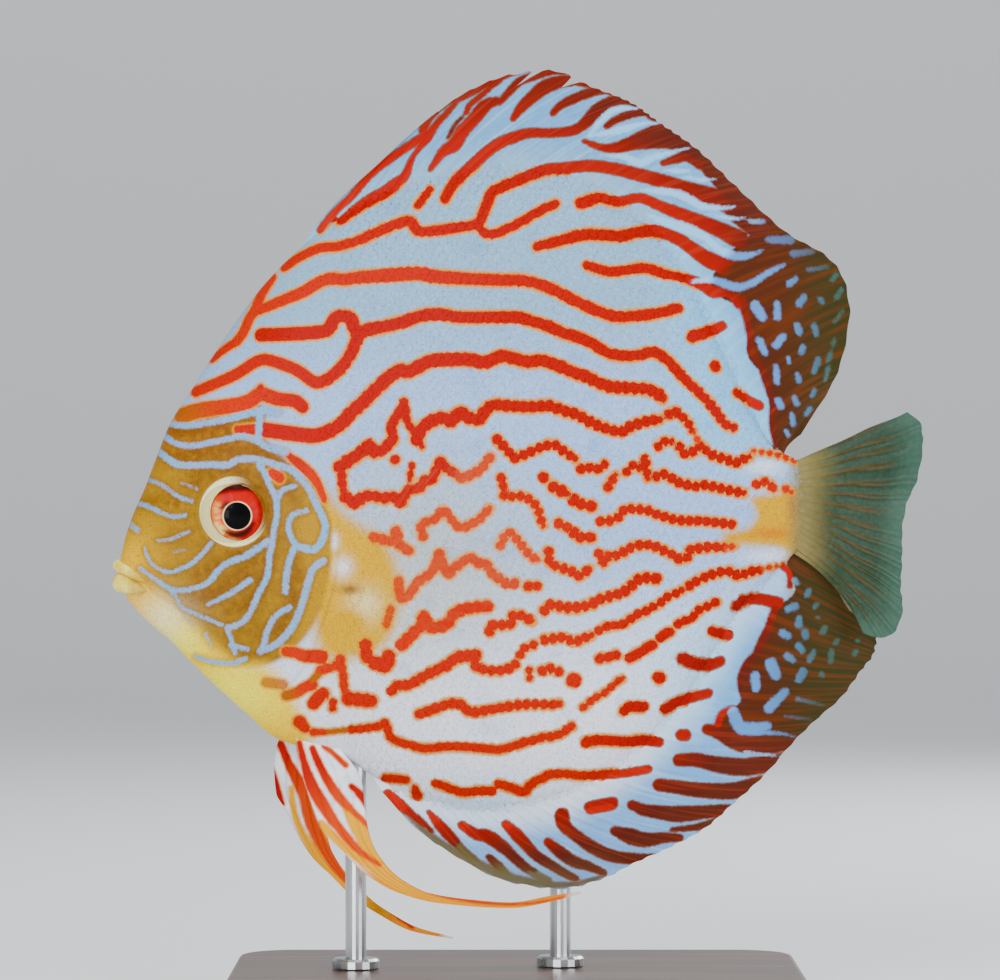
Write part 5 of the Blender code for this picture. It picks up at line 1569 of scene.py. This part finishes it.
# %% Pectoral fins
PECTORAL_L, PECTORAL_H, PECTORAL_FOOT = 50.2, -14.6, 5.2
PECTORAL_RAYS = [(56.0, 25.0), (45.0, 34.0), (30.0, 37.5), (12.0, 36.0), (-7.0, 31.0), (-24.0, 22.0)]
PECTORAL_COUNT, PECTORAL_SPREAD, PECTORAL_CUP, PECTORAL_ROOT_DEPTH = 12, 20.0, 0.8, 1.2
pectoral_finish = clear_finish(
    "pectoral_skin", root=tint(176, 128, 30), ray=tint(214, 150, 66), web=tint(206, 160, 90),
    rim=tint(212, 180, 120), root_reach=0.09, web_cover=0.0, ray_cover=0.03,
)


def pectoral(name, side):
    """A nearly clear fan behind the gill cover, spread from the flank."""
    shares = np.linspace(0, 1, len(PECTORAL_RAYS))
    turn_at = curve([(share, ray[0]) for share, ray in zip(shares, PECTORAL_RAYS)])
    length_at = curve([(share, ray[1]) for share, ray in zip(shares, PECTORAL_RAYS)])
    root_y = half_width(np.array([PECTORAL_L]), np.array([PECTORAL_H]))[0] - PECTORAL_ROOT_DEPTH
    spread = math.radians(PECTORAL_SPREAD)

    def shape(u, v, face):
        turn = np.radians(turn_at(u))
        phase = u * (PECTORAL_COUNT - 1)
        run = length_at(u) * v - (1 - np.cos(phase * math.tau)) / 2 * 0.4 * v ** 4
        out = run * math.sin(spread) * (1 - 0.35 * v)
        l = PECTORAL_L + run * np.cos(turn) * math.cos(spread)
        h = PECTORAL_H + PECTORAL_FOOT * (0.5 - u) + run * np.sin(turn)
        cup = PECTORAL_CUP * v * (1 - (2 * u - 1) ** 2)
        y = root_y + out - cup + face * fin_half_thickness(phase, v)
        return l, side * y, h

    columns = PAIRED_COLUMNS_PER_RAY * (PECTORAL_COUNT - 1)
    piece, u, v, _, _ = fin_sheet(name + "_web", columns, PECTORAL_ROWS, shape)
    store(piece, along=v, on_ray=ray_profile(u * (PECTORAL_COUNT - 1), v))
    dress(piece, pectoral_finish, "clear_fin", name)


pectoral("pectoral_fin_left", LEFT)
pectoral("pectoral_fin_right", RIGHT)

# %% [markdown]
# Each pelvic fin is a narrow blade that ends in a long streamer. Its rays run side by side, red with
# white between them near the body, and turn yellow and orange towards the streamer.

# %% Pelvic fins
PELVIC_LEFT_FRONT = [
    (38.4, -45.0), (40.0, -53.6), (41.8, -58.8), (44.5, -65.1), (48.7, -69.3), (52.9, -73.5),
    (60.3, -77.7), (68.7, -79.8), (83.4, -80.8), (93.0, -79.2), (98.1, -77.8),
]
PELVIC_LEFT_REAR = [
    (47.2, -47.0), (52.3, -54.6), (53.1, -60.9), (54.4, -66.8), (57.1, -71.4), (60.7, -74.8),
    (66.6, -77.7), (75.0, -79.0), (83.4, -79.6), (92.6, -78.1), (98.1, -77.4),
]
PELVIC_RIGHT_FRONT = [
    (35.6, -43.0), (33.6, -51.5), (34.0, -57.8), (35.7, -60.9), (38.2, -66.2), (41.4, -71.4),
    (45.6, -75.6), (49.8, -79.8), (56.1, -84.0), (62.4, -87.2), (71.2, -88.9),
]
PELVIC_RIGHT_REAR = [
    (44.5, -46.0), (45.4, -52.0), (44.6, -58.8), (44.3, -63.5), (45.2, -68.9), (47.3, -73.1),
    (50.8, -77.3), (54.4, -80.9), (58.4, -83.6), (63.6, -86.4), (71.2, -88.5),
]
PELVIC_ROOT_Y, PELVIC_COUNT = 2.4, 6
LEFT_STREAKS = [
    line("300,742 305,762 313,785 325,805 335,820", (6, 8, 12, 13, 10), -0.2, 0.8),
    line("335,820 350,838 362,850 380,862", (9, 9, 6, 4), 0.8, 1),
    line("313,748 322,768 332,785 342,798 350,806", (7, 8, 9, 10, 8), -0.2, 1),
    line("350,806 363,818 380,834 400,850", (6, 5, 4, 3), 1), line("324,745 335,754 346,764", (5, 5, 6), 0.6),
    line("352,785 360,792 367,803", (6, 8, 6)),
    line("385,858 405,874 430,889 480,899 530,900 578,890", (3, 2.5, 2.5, 2, 1.5), 0.8),
]
LEFT_GOLD = [
    line("322,822 336,836 352,850 370,862 395,880 430,896 480,905 530,906", (8, 9, 9, 8, 5)),
    line("345,805 355,820 365,835 380,855 400,874", (6, 14, 18, 14, 8)), line("362,745 372,770", 10),
]
RIGHT_STREAKS = [
    line("271,770 276,790 281,806", (5, 7, 5)),
    line("280,745 288,765 298,785 303,800", (8, 9, 12, 10), 0, 0.9),
    line("303,800 310,825 322,850 334,870 348,888", (10, 12, 12, 10, 5), 0.9, 1),
    line("299,742 304,765 312,785 322,800", (7, 8, 9, 8), 0, 0.4),
    line("385,912 398,922 412,932", (3, 4, 3), 0.4),
]
RIGHT_GOLD = [
    line("290,790 292,810 298,830 310,850 330,875 345,890 360,902 385,918", (6, 7, 8, 8, 6)),
    line("318,812 328,840 345,868 362,888", (10, 12, 10, 7)),
]
PELVIC_WHITE, PELVIC_BLUE, PELVIC_TIP = tint(242, 246, 250), tint(190, 216, 242), tint(232, 226, 206)
PELVIC_AMBER, PELVIC_GOLD, PELVIC_ORANGE = tint(226, 146, 0), tint(232, 164, 0), tint(226, 112, 0)
PELVIC_RED, PELVIC_SCARLET, PELVIC_RAY = tint(172, 4, 0), tint(210, 64, 0), tint(150, 110, 90)
f = Finish("pelvic_skin", Roughness=0.5, Coat_Weight=0.0, Specular_IOR_Level=0.04)
along, ripple = f.stored("along"), (f.noise(900, 2.0) - 0.5) * 0.35
red, gold = f.stored("red") + ripple, f.stored("gold_depth") + ripple
streak_tone = f.blend(f.stored("hue").step(0.0, 1.0), PELVIC_RED, PELVIC_SCARLET)
colour = f.layered(
    PELVIC_WHITE,
    (f.noise(260, 2.0).step(0.4, 0.65) * 0.6, PELVIC_BLUE),
    (along.step(0.26, 0.42), PELVIC_AMBER),
    (1 - gold.step(-0.3, 0.45), PELVIC_GOLD),
    ((1 - red.step(0.0, 0.42)) * 0.8, PELVIC_ORANGE),
    (1 - red.step(-0.3, 0.12), streak_tone),
    (along.step(0.94, 0.98), PELVIC_TIP),
)
f.feed(Base_Color=f.blend(f.stored("on_ray") * 0.16, colour, PELVIC_RAY, "MULTIPLY"))
pelvic_finish = f.material


def pelvic(name, side, front, rear, spread, streaks, golds):
    """A blade between its front and its rear edge, with its red streaks and gold parts."""
    front_at, rear_at = path(front), path(rear)

    def shape(u, v, face):
        phase = u * (PELVIC_COUNT - 1)
        ahead, behind = front_at(v ** 0.9), rear_at(v ** 0.9)
        l = ahead[0] + (behind[0] - ahead[0]) * u
        h = ahead[1] + (behind[1] - ahead[1]) * u
        out = PELVIC_ROOT_Y + spread * (1 - (1 - np.minimum(v * 1.6, 1.0)) ** 2)
        return l, side * out + face * fin_half_thickness(phase, v, 0.0), h

    columns = PAIRED_COLUMNS_PER_RAY * (PELVIC_COUNT - 1)
    piece, u, v, l, h = fin_sheet(name + "_web", columns, PELVIC_ROWS, shape)
    red, hue, _, _ = field(streaks, l, h)
    store(piece, red=red, hue=hue, gold_depth=field(golds, l, h)[0])
    store(piece, along=v, on_ray=ray_profile(u * (PELVIC_COUNT - 1), v * 0.0))
    dress(piece, pelvic_finish, "pelvic_fin", name)


pelvic("pelvic_fin_left", LEFT, PELVIC_LEFT_FRONT, PELVIC_LEFT_REAR, 6.0, LEFT_STREAKS, LEFT_GOLD)
pelvic("pelvic_fin_right", RIGHT, PELVIC_RIGHT_FRONT, PELVIC_RIGHT_REAR, 8.0, RIGHT_STREAKS, RIGHT_GOLD)

# %% [markdown]
# The stand is a waxed wooden base with two steel rods, plain so that it leaves the eye to the fish. The
# solids already have its true shape, so only their finish is new.

# %% Stand
WOOD, PALE_WOOD, DARK_WOOD = tint(62, 38, 22), tint(104, 66, 38), tint(40, 22, 12)
f = Finish("waxed_wood", Roughness=0.38, Coat_Weight=0.25, Coat_Roughness=0.2)
grain = f.noise(60, 4.0, (0.25, 3.0, 3.0))
fine_grain = f.noise(400, 2.0, (0.08, 2.0, 2.0))
wood = f.blend(grain.step(0.3, 0.7), WOOD, PALE_WOOD)
f.feed(Base_Color=f.blend(fine_grain.step(0.5, 0.8) * 0.5, wood, DARK_WOOD))
f.feed(Normal=f.bump(fine_grain, 0.0002, 0.3))
wood_finish = f.material
f = Finish("satin_steel", Roughness=0.28, Metallic=1.0, Base_Color=tint(190, 192, 196))
f.feed(Roughness=f.noise(900, 2.0, (1, 1, 0.05)) * 0.2 + 0.2)
steel_finish = f.material
for node, finish in (
    ("stand_base", wood_finish), ("stand_rod_front", steel_finish), ("stand_rod_rear", steel_finish)
):
    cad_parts[node].data.materials.clear()
    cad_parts[node].data.materials.append(finish)

f = Finish("backdrop_paper", Roughness=0.95, Base_Color=tint(226, 229, 231),
           Emission_Color=tint(226, 230, 234), Emission_Strength=0.27)
backdrop.data.materials.append(f.material)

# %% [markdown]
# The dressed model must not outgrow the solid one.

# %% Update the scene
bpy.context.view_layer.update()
